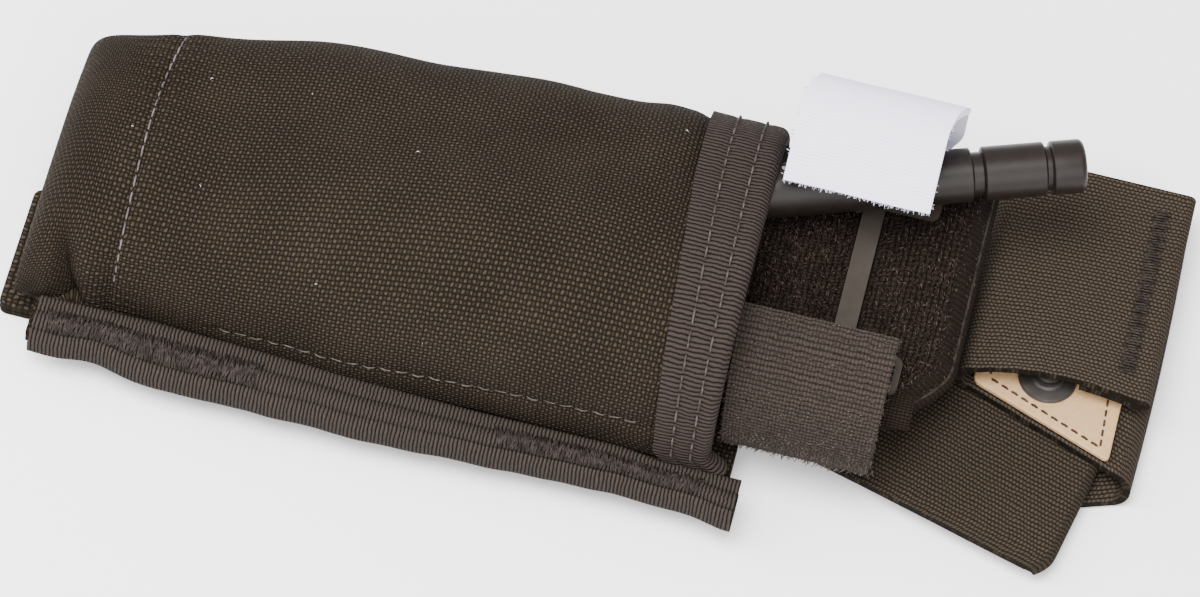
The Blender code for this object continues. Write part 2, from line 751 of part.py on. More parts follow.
def ends_on_clip(slide):
    """The white time strap on the clip's far side and the looped hook tab on its near side."""
    x_span = (STRAP_CENTRE_X - 0.0130, STRAP_CENTRE_X + 0.0130)
    far = Vector((0.0, 0.0263, 0.0250))
    near = Vector((0.0, -0.0292, 0.0136))
    time_route = [(0.0270, 0.0262), (0.0298, 0.0300), (0.0306, 0.0355), (0.0290, 0.0410),
                  (0.0253, 0.0443), (0.0198, 0.0446), (0.0135, 0.0419), (0.0079, 0.0382)]
    root_route = [(-0.0187, 0.0226), (-0.0215, 0.0213), (-0.0245, 0.0185), (-0.0268, 0.0158),
                  (-0.0282, 0.0132)]
    flap_route = [(-0.0303, 0.0140), (-0.0300, 0.0172), (-0.0280, 0.0205), (-0.0245, 0.0238),
                  (-0.0185, 0.0264), (-0.0120, 0.0278)]
    time_hinge = empty("time_strap_hinge", slide, far)
    tab_hinge = empty("hook_tab_hinge", slide, near)

    def shifted(route, pivot):
        return [(y - pivot.y, z - pivot.z) for y, z in route]

    ribbon("time_strap", shifted(time_route, far), x_span, 0.0014, "time_cloth", time_hinge, 21)
    ribbon("hook_tab_root", root_route, x_span, 0.0014, "hook_tape", slide, 8)
    ribbon("hook_tab_flap", shifted(flap_route, near), x_span, 0.0014, "hook_tape", tab_hinge, 12)


# ---------------------------------------------------------------- assembly

clear_scene()
PARTS = collection("tourniquet_pouch")
CUTTERS = collection("cutters")
frame = empty("mouth_frame", None, MOUTH_AT)
pouch_body(frame)
mouth_binding(frame)
side_binding("side_binding_near", -1, frame)
side_binding("side_binding_far", 1, frame)
back_layers(frame)
ladder_webbing(frame)
attachment_strap(-1, "near", frame)
attachment_strap(1, "far", frame)
retention_strap(frame)
tourniquet(frame)
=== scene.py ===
"""The looks of a tourniquet pouch lying on its back: cloth, tapes, stitches, straps, light and camera.

Places are in metres from the centre line of the pouch's mouth, on the ground, as in the model's design;
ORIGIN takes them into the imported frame. Cloth carries a UV map in millimetres for its weave.
"""

import random
from math import copysign, cos, exp, hypot, pi, radians, sin, tan

import bmesh
import bpy
from mathutils import Matrix, Vector, noise


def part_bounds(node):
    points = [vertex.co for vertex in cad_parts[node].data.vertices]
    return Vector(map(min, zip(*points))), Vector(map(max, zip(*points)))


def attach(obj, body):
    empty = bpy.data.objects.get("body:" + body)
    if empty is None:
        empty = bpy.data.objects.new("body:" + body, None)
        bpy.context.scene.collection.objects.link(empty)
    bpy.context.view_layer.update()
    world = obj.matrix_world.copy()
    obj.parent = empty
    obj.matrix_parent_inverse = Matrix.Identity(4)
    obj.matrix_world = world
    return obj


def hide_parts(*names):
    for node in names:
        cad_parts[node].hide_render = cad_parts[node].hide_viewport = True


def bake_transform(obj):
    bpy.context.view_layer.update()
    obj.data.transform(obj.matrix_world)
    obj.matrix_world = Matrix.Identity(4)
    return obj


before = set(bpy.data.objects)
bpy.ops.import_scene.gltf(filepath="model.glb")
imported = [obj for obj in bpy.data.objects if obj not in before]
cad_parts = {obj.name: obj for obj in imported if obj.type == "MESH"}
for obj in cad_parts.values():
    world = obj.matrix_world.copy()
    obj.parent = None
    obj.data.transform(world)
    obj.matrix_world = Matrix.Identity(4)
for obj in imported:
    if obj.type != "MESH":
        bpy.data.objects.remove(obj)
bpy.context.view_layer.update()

# ---------------------------------------------------------------- sizes

MM = 0.001
CLOSED_X = -0.1292
MOUTH_X = -0.0052
FLANGE_X = (-0.1255, -0.0010)
FLANGE_Z = 0.00825
FLANGE_HALF = 0.0399
HALF_WIDTH = 0.0294
MOUTH_HEIGHT = 0.0380
CLOSED_HEIGHT = 0.0255
END_RADIUS = 0.012
SQUARENESS = 3.0
CLOTH = 0.0012
TAPE = 0.0009
TAPE_COVER = 0.0140
TAPE_LEAN = 0.0043
BINDING_INNER = 0.0303
NEAR_SPREAD = (0.0024, 0.0048)
NEAR_REACH = 0.0022
BINDING_OUTER = 0.0423
FAR_FLANGE = (0.0250, 0.0330)
FAR_TAPER = (-0.1255, -0.0750)
FAR_FOOT = 0.0036
FAR_BINDING = (-0.0022, 0.0020)
FAR_BINDING_START = -0.1120
SEAM_X = -0.1130
SEAM_T = (0.62, 2.72)
TAPE_ROWS = (-TAPE_COVER + 0.0047, -TAPE_COVER + 0.0096)
NEAR_ROWS = (0.33, 0.74)
FAR_ROWS = (0.55,)
EDGE_PULLS = ((0.0010, 0.0060, -0.0020), (-0.1130, 0.0060, 0.0012), (-0.0700, 0.0300, -0.0014))
TACK_ZONES = ((-0.1225, -0.0850), (-0.0420, -0.0060))
FAR_CORNER = 0.0045
STRAP_REACH = 0.0022
STRAP_CORNERS = {"near": 0.0015, "far": 0.0090}

ELASTIC = 0.0013
ELASTIC_WIDTH = 0.0500
LOWER_Z = 0.00095
UNDER_Z = 0.00255
ROOT_Z = 0.00415
RETURN_Z = 0.00575
TURN_X = 0.0643
TURN_RADIUS = 0.0024
ROOT_TURN = radians(-16.0)
RETURN_TURN = radians(-21.0)
END_FOLD_X = 0.0343
END_EDGE_X = 0.0663
SPLIT_X = END_FOLD_X + 0.0045
RETURN_FAR_Y = 0.0440
END_NEAR = Vector((0.0, -0.0040, 0.0120))
END_FAR = Vector((0.0, 0.0446, 0.0093))

STACK_AT = Vector((0.0, -0.0025, 0.0144))
STACK_TILT = radians(4.0)
STACK = Matrix.Translation(STACK_AT) @ Matrix.Rotation(STACK_TILT, 4, "X")
BAND = 0.0016
BAND_HALF = 0.0190
BAND_HEIGHT = 0.0062
BAND_X = (-0.1120, 0.0315)
STRAP_X = (-0.0040, 0.0220)

ROD_THROUGH = Vector((0.0, 0.0130, 0.0300))
ROD_RUN = Vector((1.0, 0.365, 0.050)).normalized()
ROD_END_X = 0.0459
ROD_LENGTH = 0.1150
ROD_RADIUS = 0.00475
ROD_NECK = 0.0039
ROD_PIVOT_X = -0.0310

# Y and Z along the hook tab, from the clip down to the fold and up again in front.
ROOT_ROUTE = [(-0.0187, 0.0226), (-0.0215, 0.0213), (-0.0245, 0.0185), (-0.0268, 0.0158), (-0.0282, 0.0136)]
FLAP_ROUTE = [(-0.0303, 0.0140), (-0.0300, 0.0172), (-0.0280, 0.0205), (-0.0245, 0.0238),
              (-0.0185, 0.0264), (-0.0120, 0.0278)]

X_WAY = Vector((1.0, 0.0, 0.0))
Y_WAY = Vector((0.0, 1.0, 0.0))
UP = Vector((0.0, 0.0, 1.0))


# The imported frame's place for the mouth's centre line, found from the back panel.
PANEL_LOW, PANEL_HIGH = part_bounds("back_panel")
ORIGIN = Vector((PANEL_HIGH.x - FLANGE_X[1], PANEL_LOW.y + FLANGE_HALF, 0.0))


# ---------------------------------------------------------------- meshes

def part_box(node):
    """A CAD part's box, from the mouth's centre line."""
    low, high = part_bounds(node)
    return low - ORIGIN, high - ORIGIN


def ease(value, low, high):
    f = min(max((value - low) / (high - low), 0.0), 1.0)
    return f * f * (3 - 2 * f)


def peak(value, centre, width):
    """A smooth bump, 1 high at its centre and dying away over its width."""
    return exp(-((value - centre) / width) ** 2)


def rough(point, scale, seed=0.0):
    """Smooth noise from -1 to 1 at a point."""
    return noise.noise(Vector((point[0] * scale + seed, point[1] * scale - seed, point[2] * scale)))


def finish(name, mesh, material, body, slot, replaced=(), at=None):
    """Puts a mesh in the scene as a piece on a body, standing for the CAD nodes it replaces."""
    piece = bpy.data.objects.new(name, mesh)
    piece.location = ORIGIN if at is None else at
    mesh.materials.append(material)
    bpy.context.scene.collection.objects.link(piece)
    if body:
        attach(piece, body)
    if replaced:
        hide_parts(*replaced)
    return piece


def add_uv(mesh, uvs):
    layer = mesh.uv_layers.new(name="UVMap")
    for loop in mesh.loops:
        layer.data[loop.index].uv = uvs[loop.vertex_index]


def slab(place, across, along, thickness, uv, closed=False):
    """A cloth mesh from place(u, v): two faces a thickness apart, joined round their edges.

    uv(u, v) gives the weave's coordinates in millimetres. A closed slab joins its u ends in a ring.
    """
    columns = across if closed else across + 1
    grid = [[place(i / across, j / along) for j in range(along + 1)] for i in range(columns)]

    def normal(i, j):
        before = grid[(i - 1) % columns if closed else max(i - 1, 0)][j]
        after = grid[(i + 1) % columns if closed else min(i + 1, columns - 1)][j]
        low = grid[i][max(j - 1, 0)]
        high = grid[i][min(j + 1, along)]
        return (after - before).cross(high - low).normalized()

    half = thickness / 2
    verts = []
    uvs = []
    for side in (1, -1):
        for i in range(columns):
            for j in range(along + 1):
                verts.append(grid[i][j] + normal(i, j) * half * side)
                uvs.append(uv(i / across, j / along))
    count = columns * (along + 1)

    def at(i, j, side):
        return (i % columns) * (along + 1) + j + (0 if side == 1 else count)

    faces = []
    for i in range(across):
        for j in range(along):
            faces.append((at(i, j, 1), at(i + 1, j, 1), at(i + 1, j + 1, 1), at(i, j + 1, 1)))
            faces.append((at(i, j, -1), at(i, j + 1, -1), at(i + 1, j + 1, -1), at(i + 1, j, -1)))
    for i in range(across):
        faces.append((at(i, 0, 1), at(i, 0, -1), at(i + 1, 0, -1), at(i + 1, 0, 1)))
        faces.append((at(i, along, 1), at(i + 1, along, 1), at(i + 1, along, -1), at(i, along, -1)))
    if not closed:
        for j in range(along):
            faces.append((at(0, j, 1), at(0, j + 1, 1), at(0, j + 1, -1), at(0, j, -1)))
            faces.append((at(across, j, 1), at(across, j, -1), at(across, j + 1, -1),
                          at(across, j + 1, 1)))
    mesh = bpy.data.meshes.new("slab")
    mesh.from_pydata([tuple(v) for v in verts], [], faces)
    add_uv(mesh, uvs)
    mesh.shade_smooth()
    mesh.set_sharp_from_angle(angle=radians(50))
    mesh.validate()
    return mesh


def smooth_path(points, u):
    """A point at u, from 0 to 1, on a Catmull-Rom curve through points."""
    spans = len(points) - 1
    k = min(int(u * spans), spans - 1)
    f = u * spans - k
    a = points[max(k - 1, 0)]
    b = points[k]
    c = points[k + 1]
    d = points[min(k + 2, spans)]
    return [
        0.5 * (2 * q + (r - p) * f + (2 * p - 5 * q + 4 * r - s) * f * f + (3 * q - p - 3 * r + s) * f ** 3)
        for p, q, r, s in zip(a, b, c, d)
    ]


class Threads:
    """Many short round threads gathered into one mesh."""

    def __init__(self, sides=5):
        self.sides = sides
        self.verts = []
        self.faces = []

    def add(self, points, radius, taper=0.5):
        """A thread through points, thinner at both ends, with closed ends."""
        base = len(self.verts)
        last = len(points) - 1
        sides = self.sides
        for k, point in enumerate(points):
            run = (points[min(k + 1, last)] - points[max(k - 1, 0)]).normalized()
            side = run.orthogonal().normalized()
            up = run.cross(side)
            size = radius * (taper if k in (0, last) else 1.0)
            for s in range(sides):
                a = 2 * pi * s / sides
                self.verts.append(point + (side * cos(a) + up * sin(a)) * size)
        for k in range(last):
            for s in range(sides):
                a = base + k * sides + s
                b = base + k * sides + (s + 1) % sides
                self.faces.append((a, b, b + sides, a + sides))
        self.faces.append(tuple(base + s for s in reversed(range(sides))))
        self.faces.append(tuple(base + last * sides + s for s in range(sides)))

    def stitches(self, place, length, pitch, thread, lift, gap=0.22):
        """A row of stitches along place(s), s in metres, each arching up out of the cloth by lift."""
        count = max(int(length / pitch), 1)
        for k in range(count):
            start = k * pitch + pitch * gap / 2
            end = (k + 1) * pitch - pitch * gap / 2
            points = []
            for f in (0.0, 0.2, 0.5, 0.8, 1.0):
                point, up = place(start + (end - start) * f)
                points.append(point + up * (lift * sin(pi * (0.08 + 0.84 * f)) - thread * 0.5))
            self.add(points, thread)

    def mesh(self):
        mesh = bpy.data.meshes.new("threads")
        mesh.from_pydata([tuple(v) for v in self.verts], [], self.faces)
        mesh.shade_smooth()
        return mesh


def straight(start, run, up=UP):
    """The place of a straight row of stitches: along run from start, with up out of the cloth."""
    return lambda s: (start + run * s, up)


# ---------------------------------------------------------------- materials

class Nodes:
    """A small helper to wire a material's nodes."""

    def __init__(self, name, roughness, metallic=0.0, specular=0.35):
        self.material = bpy.data.materials.new(name)
        self.material.use_nodes = True
        self.tree = self.material.node_tree
        self.shader = self.tree.nodes["Principled BSDF"]
        self.shader.inputs["Roughness"].default_value = roughness
        self.shader.inputs["Metallic"].default_value = metallic
        self.shader.inputs["Specular IOR Level"].default_value = specular

    def link(self, source, target):
        if isinstance(source, (int, float)):
            target.default_value = source
        else:
            self.tree.links.new(source, target)

    def math(self, operation, a, b=0.0):
        node = self.tree.nodes.new("ShaderNodeMath")
        node.operation = operation
        self.link(a, node.inputs[0])
        self.link(b, node.inputs[1])
        return node.outputs[0]

    def times(self, a, b):
        return self.math("MULTIPLY", a, b)

    def plus(self, a, b):
        return self.math("ADD", a, b)

    def scaled(self, value, factor, base):
        """A value times a factor, on top of a base."""
        return self.plus(self.times(value, factor), base)

    def half_waves(self, value, pitch):
        """A sine that changes sign at every pitch."""
        return self.math("SINE", self.times(value, pi / pitch))

    def ridges(self, value, pitch):
        """One ridge to each pitch."""
        return self.math("ABSOLUTE", self.half_waves(value, pitch))

    def wobble(self, vector, scale, detail, width):
        """Noise to either side of zero."""
        return self.times(self.math("SUBTRACT", self.noise(vector, scale, detail), 0.5), width)

    def uv(self):
        """Weave coordinates in millimetres."""
        node = self.tree.nodes.new("ShaderNodeUVMap")
        node.uv_map = "UVMap"
        split = self.tree.nodes.new("ShaderNodeSeparateXYZ")
        self.tree.links.new(node.outputs[0], split.inputs[0])
        return node.outputs[0], split.outputs[0], split.outputs[1]

    def solid(self):
        """Object coordinates."""
        node = self.tree.nodes.new("ShaderNodeTexCoord")
        return node.outputs["Object"]

    def noise(self, vector, scale, detail=3.0):
        node = self.tree.nodes.new("ShaderNodeTexNoise")
        node.inputs["Scale"].default_value = scale
        node.inputs["Detail"].default_value = detail
        self.tree.links.new(vector, node.inputs["Vector"])
        return node.outputs["Fac"]

    def mix(self, factor, a, b):
        node = self.tree.nodes.new("ShaderNodeMix")
        node.data_type = "RGBA"
        self.link(factor, node.inputs["Factor"])
        for source, index in ((a, 6), (b, 7)):
            if isinstance(source, tuple):
                node.inputs[index].default_value = (*source, 1.0)
            else:
                self.tree.links.new(source, node.inputs[index])
        return node.outputs[2]

    def ramp(self, value, low, high):
        node = self.tree.nodes.new("ShaderNodeMapRange")
        node.interpolation_type = "SMOOTHSTEP"
        node.inputs["From Min"].default_value = low
        node.inputs["From Max"].default_value = high
        self.link(value, node.inputs["Value"])
        return node.outputs[0]

    def colour(self, value):
        if isinstance(value, tuple):
            self.shader.inputs["Base Color"].default_value = (*value, 1.0)
        else:
            self.tree.links.new(value, self.shader.inputs["Base Color"])

    def tint(self, shade, low, high, dark, light):
        """Colours the surface from dark to light as the shade goes from low to high."""
        self.colour(self.mix(self.ramp(shade, low, high), dark, light))

    def bump(self, height, distance):
        node = self.tree.nodes.new("ShaderNodeBump")
        node.inputs["Distance"].default_value = distance
        self.tree.links.new(height, node.inputs["Height"])
        self.tree.links.new(node.outputs[0], self.shader.inputs["Normal"])


def woven(name, dark, light, pitch_u, pitch_v, deep, worn=0.25, roughness=0.9):
    """A plain weave whose threads pass over one another in a checker."""
    n = Nodes(name, roughness, specular=0.06)
    vector, u, v = n.uv()
    wobble = n.wobble(vector, 0.45, 2.0, pitch_u * 0.9)
    cell = n.times(n.half_waves(n.plus(u, wobble), pitch_u), n.half_waves(n.plus(v, wobble), pitch_v))
    height = n.math("POWER", n.math("ABSOLUTE", cell), 0.6)
    over = n.ramp(cell, -0.15, 0.15)
    lifted = n.times(height, n.scaled(over, 0.42, 0.52))
    glow = n.times(lifted, n.scaled(n.noise(vector, 3.2, 4.0), 0.9, 0.35))
    n.tint(n.plus(glow, n.wobble(vector, 0.06, 3.0, worn)), 0.05, 0.95, dark, light)
    n.bump(lifted, deep)
    return n.material


def ribbed(name, dark, light, pitch, deep, along_u=True, cross=0.0, roughness=0.9):
    """A ribbed tape: ribs every pitch along its length, with a finer thread across them."""
    n = Nodes(name, roughness, specular=0.06)
    vector, u, v = n.uv()
    if not along_u:
        u, v = v, u
    u = n.plus(u, n.wobble(vector, 0.5, 2.0, pitch * 0.8))
    height = n.math("POWER", n.ridges(u, pitch), 0.6)
    if cross:
        height = n.times(height, n.scaled(n.ridges(v, cross), 0.55, 0.45))
    shade = n.times(height, n.scaled(n.noise(vector, 2.6, 4.0), 0.8, 0.45))
    n.tint(shade, 0.1, 0.95, dark, light)
    n.bump(height, deep)
    return n.material


def knit(name, dark, light):
    """Elastic: rows of small chevrons along the strap."""
    n = Nodes(name, 0.9, specular=0.06)
    vector, u, v = n.uv()
    wobble = n.wobble(vector, 0.35, 3.0, 0.8)
    row = n.half_waves(n.plus(v, wobble), 0.86)
    slant = n.times(n.math("SIGN", row), 0.17)
    stitch = n.ridges(n.plus(n.plus(u, wobble), slant), 0.68)
    ridge = n.math("POWER", n.math("ABSOLUTE", row), 0.5)
    height = n.times(ridge, n.scaled(stitch, 0.52, 0.48))
    n.tint(n.times(height, n.scaled(n.noise(vector, 2.4, 4.0), 0.9, 0.4)), 0.15, 1.0, dark, light)
    n.bump(height, 0.00022)
    return n.material


def grained(name, dark, light, scale, deep, roughness, metallic=0.0, specular=0.4):
    """Leather, moulded plastic or blackened metal: a fine grain with slow colour change."""
    n = Nodes(name, roughness, metallic=metallic, specular=specular)
    grain = n.noise(n.solid(), scale, 5.0)
    slow = n.noise(n.solid(), scale * 0.06, 2.0)
    n.tint(n.plus(n.times(grain, 0.5), n.times(slow, 0.5)), 0.3, 0.7, dark, light)
    n.bump(grain, deep)
    return n.material


def plain_thread(name, dark, light):
    n = Nodes(name, 0.8, specular=0.12)
    n.tint(n.noise(n.solid(), 900.0, 2.0), 0.3, 0.7, dark, light)
    return n.material


CORDURA = woven("cordura_weave", (0.0059, 0.0042, 0.0029), (0.0455, 0.0338, 0.0231), 0.72, 0.88, 0.00038)
LINING = woven("lining_weave", (0.012, 0.0095, 0.007), (0.060, 0.048, 0.036), 0.40, 0.40, 0.00008)
GROSGRAIN = ribbed("grosgrain_ribs", (0.0022, 0.0017, 0.0014), (0.0345, 0.0272, 0.0232), 0.68, 0.00036)
MOUTH_GROSGRAIN = ribbed("mouth_grosgrain", (0.0026, 0.0019, 0.0017), (0.0325, 0.0243, 0.0214), 0.84, 0.00034)
WEBBING = woven("webbing_weave", (0.0068, 0.005, 0.0034), (0.056, 0.0432, 0.0296), 1.1, 0.9, 0.00025)
ELASTIC_KNIT = knit("elastic_knit", (0.0058, 0.0043, 0.0029), (0.0520, 0.0400, 0.0288))
ELASTIC_PLAIN = knit("elastic_plain", (0.0052, 0.0039, 0.0026), (0.042, 0.0321, 0.023))
TIME_CLOTH = ribbed("time_cloth_ribs", (0.624, 0.616, 0.7392), (0.744, 0.736, 0.8624), 0.42, 0.00004,
                    along_u=False, roughness=0.8)
HOOK_BASE = ribbed("hook_base", (0.0112, 0.0083, 0.0071), (0.0392, 0.03, 0.0254), 0.52, 0.00012,
                   along_u=False, cross=0.6)
HOOK_FIBRE = plain_thread("hook_fibre", (0.0290, 0.0230, 0.0195), (0.0950, 0.0800, 0.0690))
PILE_BASE = ribbed("pile_base", (0.003, 0.002, 0.0014), (0.0169, 0.0115, 0.0085), 0.8, 0.0002, cross=0.7)
PILE_FIBRE = plain_thread("pile_fibre", (0.0090, 0.0052, 0.0039), (0.0680, 0.0470, 0.0400))
EDGE_CLOTH = plain_thread("edge_cloth", (0.0092, 0.0069, 0.005), (0.0248, 0.0198, 0.0152))
LEATHER = grained("tan_leather", (0.2989, 0.1786, 0.0854), (0.3943, 0.2475, 0.1247), 900.0, 0.00006, 0.6)
LEATHER_THREAD = plain_thread("leather_thread", (0.022, 0.011, 0.006), (0.058, 0.032, 0.020))
DARK_THREAD = plain_thread("dark_thread", (0.0238, 0.0189, 0.0169), (0.062, 0.0511, 0.0476))
TACK_THREAD = plain_thread("tack_thread", (0.0096, 0.0069, 0.0063), (0.0324, 0.0252, 0.0228))
SEAM_THREAD = plain_thread("seam_thread", (0.036, 0.030, 0.026), (0.082, 0.070, 0.061))
PALE_THREAD = plain_thread("pale_thread", (0.0546, 0.0437, 0.0445), (0.1176, 0.0987, 0.1029))
WHITE_FIBRE = plain_thread("white_fibre", (0.56, 0.552, 0.6688), (0.72, 0.712, 0.8448))
ROD_PLASTIC = grained("rod_plastic_satin", (0.0077, 0.0051, 0.0041), (0.0116, 0.008, 0.0064),
                      700.0, 0.00002, 0.40, specular=0.2)
CLIP_PLASTIC = grained("clip_plastic_matt", (0.0269, 0.0224, 0.0184), (0.035, 0.0291, 0.0242),
                       500.0, 0.00002, 0.6, specular=0.08)
SNAP_METAL = grained("snap_black", (0.018, 0.015, 0.013), (0.036, 0.031, 0.028), 800.0, 0.00002, 0.5, 0.4)
BOARD = grained("board_plastic", (0.022, 0.022, 0.022), (0.04, 0.04, 0.04), 400.0, 0.00003, 0.55)


# ---------------------------------------------------------------- pouch shell

def far_flange(x):
    """The far flange's edge, which draws in towards the closed end."""
    return FAR_FLANGE[0] + (FAR_FLANGE[1] - FAR_FLANGE[0]) * ease(x, *FAR_TAPER)


def near_spread(x):
    """How much further out the filled shell's near side stands than its plain section."""
    return NEAR_SPREAD[0] + (NEAR_SPREAD[1] - NEAR_SPREAD[0]) * ease(x, -0.112, -0.040)


def section_point(x, t, offset=0.0):
    """Y and Z of the front shell at x, with t from pi on the near side to 0 on the far side."""
    height = CLOSED_HEIGHT + (MOUTH_HEIGHT - CLOSED_HEIGHT) * ease(x, -0.118, -0.036)
    half = HALF_WIDTH * (0.98 + 0.02 * ease(x, -0.125, -0.090))
    half += near_spread(x) * ease(t, 1.6, 2.4)
    if cos(t) > 0:
        half = far_flange(x) - FAR_FOOT
    rise = height - FLANGE_Z
    if x < CLOSED_X + END_RADIUS:
        back = (CLOSED_X + END_RADIUS - x) / END_RADIUS
        rise *= max(1.0 - back ** SQUARENESS, 0.0) ** (1 / SQUARENESS)
    cosine = cos(t)
    sine = sin(t)
    k = (abs(cosine) ** SQUARENESS + abs(sine) ** SQUARENESS) ** (-1 / SQUARENESS)
    point = Vector((half * cosine * k, FLANGE_Z + rise * sine * k))
    if offset:
        step = 0.02
        before = section_point(x, min(t + step, pi))
        after = section_point(x, max(t - step, 0.0))
        run = (after - before).normalized()
        point += Vector((-run.y, run.x)) * offset
    return point


def lower_seam_t(x):
    """Where the long lower seam runs round the section: a little above the near flange."""
    return pi - 0.19 - 0.12 * ease(x, -0.105, -0.010)


def shell_relief(x, t):
    """How far the cloth stands out or in from its plain shape: sags, puckers and seam grooves."""
    along = ease(x, -0.124, -0.105) * (1 - 0.75 * ease(x, -0.028, -0.012))
    body = 0.0010 * rough((x, t * 0.018, 0.0), 26.0, 3.1) + 0.0006 * rough((x, t * 0.02, 0.2), 60.0, 9.4)
    relief = body * along
    relief -= 0.0011 * peak(x, -0.098, 0.011) * sin(t) ** 2
    groove = peak(x, SEAM_X, 0.0013)
    relief -= 0.0005 * groove * ease(t, SEAM_T[0] - 0.1, SEAM_T[0] + 0.1)
    pucker = peak(x, SEAM_X, 0.006)
    relief += 0.00022 * pucker * sin(t * 62.0)
    seam = lower_seam_t(x)
    relief -= 0.0004 * peak(t, seam, 0.030) * ease(x, -0.100, -0.092)
    relief += 0.00015 * peak(t, seam, 0.10) * sin(x * 1500.0)
    bulge = peak(t, 2.25, 0.45) * peak(x, -0.045, 0.045)
    relief += 0.0012 * bulge
    crease = -0.1232 + 0.0042 * (t - 2.2)
    fold = peak(x, crease, 0.0019) * ease(t, 2.2, 2.6)
    lip = peak(x, crease + 0.0042, 0.0026) * ease(t, 2.2, 2.6)
    relief += 0.0008 * lip - 0.0032 * fold
    far_corner = (1 - ease(x, -0.1250, -0.1100)) * ease(t, 0.05, 0.5) * (1 - ease(t, 0.9, 1.5))
    relief -= 0.0010 * far_corner
    relief -= mouth_droop(t) * (0.5 * ease(x, -0.112, -0.040) + 0.5 * ease(x, -0.0225, -0.0180))
    shoulder = ease(t, 0.1, 0.6) * (1 - ease(t, 1.2, 1.9))
    waist = ease(x, -0.092, -0.066) * (1 - ease(x, -0.042, -0.026))
    relief += (0.0005 * peak(x, -0.0262, 0.0034) - 0.0016 * waist) * shoulder
    return relief


def mouth_droop(t):
    """How far the mouth's far shoulder sinks."""
    return 0.0028 * ease(t, 0.2, 0.8) * (1 - ease(t, 1.2, 1.9))


def shell_rings():
    rings = [CLOSED_X + END_RADIUS * (1 - cos(radians(a))) for a in range(0, 91, 5)]
    start = rings[-1]
    end = MOUTH_X - 0.0022
    runs = 150
    return rings + [start + (end - start) * (k + 1) / runs for k in range(runs)]


def near_lean(t):
    """How far the mouth tape's lower edge leans on along the pouch towards the near flange."""
    return TAPE_LEAN * ease(t, 1.1, pi)


def flare(x, t):
    """How far the mouth's edge reaches on, low down where it joins the flanges."""
    low = max(ease(t, pi - 0.16, pi), ease(t, 0.16, 0.0) if t < 0.16 else 0.0)
    return (FLANGE_X[1] - MOUTH_X) * low * ease(x, -0.030, MOUTH_X)


def shell_point(x, t, lift=0.0):
    """A point on the shell's outer face, and the way out from it."""
    out = CLOTH / 2 + shell_relief(x, t) + lift
    y, z = section_point(x, t, out)
    base_y, base_z = section_point(x, t, out - 0.001)
    return Vector((x + flare(x, t), y, z)), Vector((0.0, y - base_y, z - base_z)).normalized()


def pouch_body():
    rings = shell_rings()
    around = 120
    flange = 8
    steps = around + 2 * flange

    def place(u, v):
        x = rings[round(u * (len(rings) - 1))]
        step = round(v * steps) - flange
        if 0 <= step <= around:
            t = pi * (1 - step / around)
            y, z = section_point(x, t, shell_relief(x, t))
            return Vector((x + flare(x, t), y, z))
        beyond = -step if step < 0 else step - around
        side = -1 if step < 0 else 1
        foot = section_point(x, 0.0 if side > 0 else pi).x
        edge = far_flange(x) if side > 0 else -FLANGE_HALF
        if side > 0:
            edge = foot + (edge - foot) * (0.15 + 0.85 * ease(x, CLOSED_X, CLOSED_X + END_RADIUS))
        y = foot + (edge - foot) * beyond / flange
        low = CLOSED_X + END_RADIUS
        if x < low:
            x = FLANGE_X[0] + (x - CLOSED_X) * (low - FLANGE_X[0]) / (low - CLOSED_X)
        return Vector((x + flare(x, pi), y, FLANGE_Z))

    def uv(u, v):
        x = rings[round(u * (len(rings) - 1))]
        girth = 0.118 + 0.02 * ease(x, -0.118, -0.036)
        over_end = max(1 - (x - CLOSED_X) / END_RADIUS, 0.0)
        drawn = 0.011 * over_end ** 1.6 * sin(pi * v)
        return ((x - drawn) / MM, (v - 0.5) * girth / MM)

    mesh = slab(place, len(rings) - 1, steps, CLOTH, uv)
    piece = finish("pouch_front_shell", mesh, CORDURA, "pouch", "cordura", ("pouch_body",))


def shell_seams():
    """The closed end's cross seam, the long lower seam and lint on the cloth."""
    pale = Threads()

    def across(s):
        t = SEAM_T[1] - s / 0.030
        return shell_point(SEAM_X + 0.0006 * sin(t * 3), t, 0.00005)

    pale.stitches(across, (SEAM_T[1] - SEAM_T[0]) * 0.030, 0.0027, 0.00019, 0.00035)
    finish("end_seam_thread", pale.mesh(), PALE_THREAD, "pouch", "cordura")
    lower = Threads()

    def along(s):
        x = -0.0935 + s
        return shell_point(x, lower_seam_t(x), 0.00005)

    lower.stitches(along, 0.077, 0.0029, 0.00014, 0.0003)
    finish("lower_seam_thread", lower.mesh(), SEAM_THREAD, "pouch", "cordura")
    lint = Threads(4)
    draw = random.Random(7)
    for _ in range(8):
        x = draw.uniform(-0.120, -0.020)
        point, up = shell_point(x, draw.uniform(1.0, 2.7), 0.0001)
        turn = draw.uniform(0, pi)
        run = Vector((cos(turn), sin(turn) * 0.6, 0.0))
        run -= up * run.dot(up)
        size = draw.uniform(0.0002, 0.0005)
        lint.add([point - run * size, point + up * 0.0002, point + run * size], 0.00005)
    finish("lint", lint.mesh(), WHITE_FIBRE, "pouch", "cordura")


# ---------------------------------------------------------------- tapes

def mouth_tape_point(back, offset, t):
    """A point on the mouth tape: back from its edge, offset out of the shell's middle, round it by t."""
    share = min(-back / TAPE_COVER, 1.0)
    x = MOUTH_X + back + near_lean(t) * share
    ruffle = 0.00025 * rough((x, t * 0.03, 0.4), 90.0, 5.0) * share - mouth_droop(t)
    y, z = section_point(MOUTH_X, t, offset + ruffle)
    return Vector((x + flare(MOUTH_X, t) * 0.9, y, z))


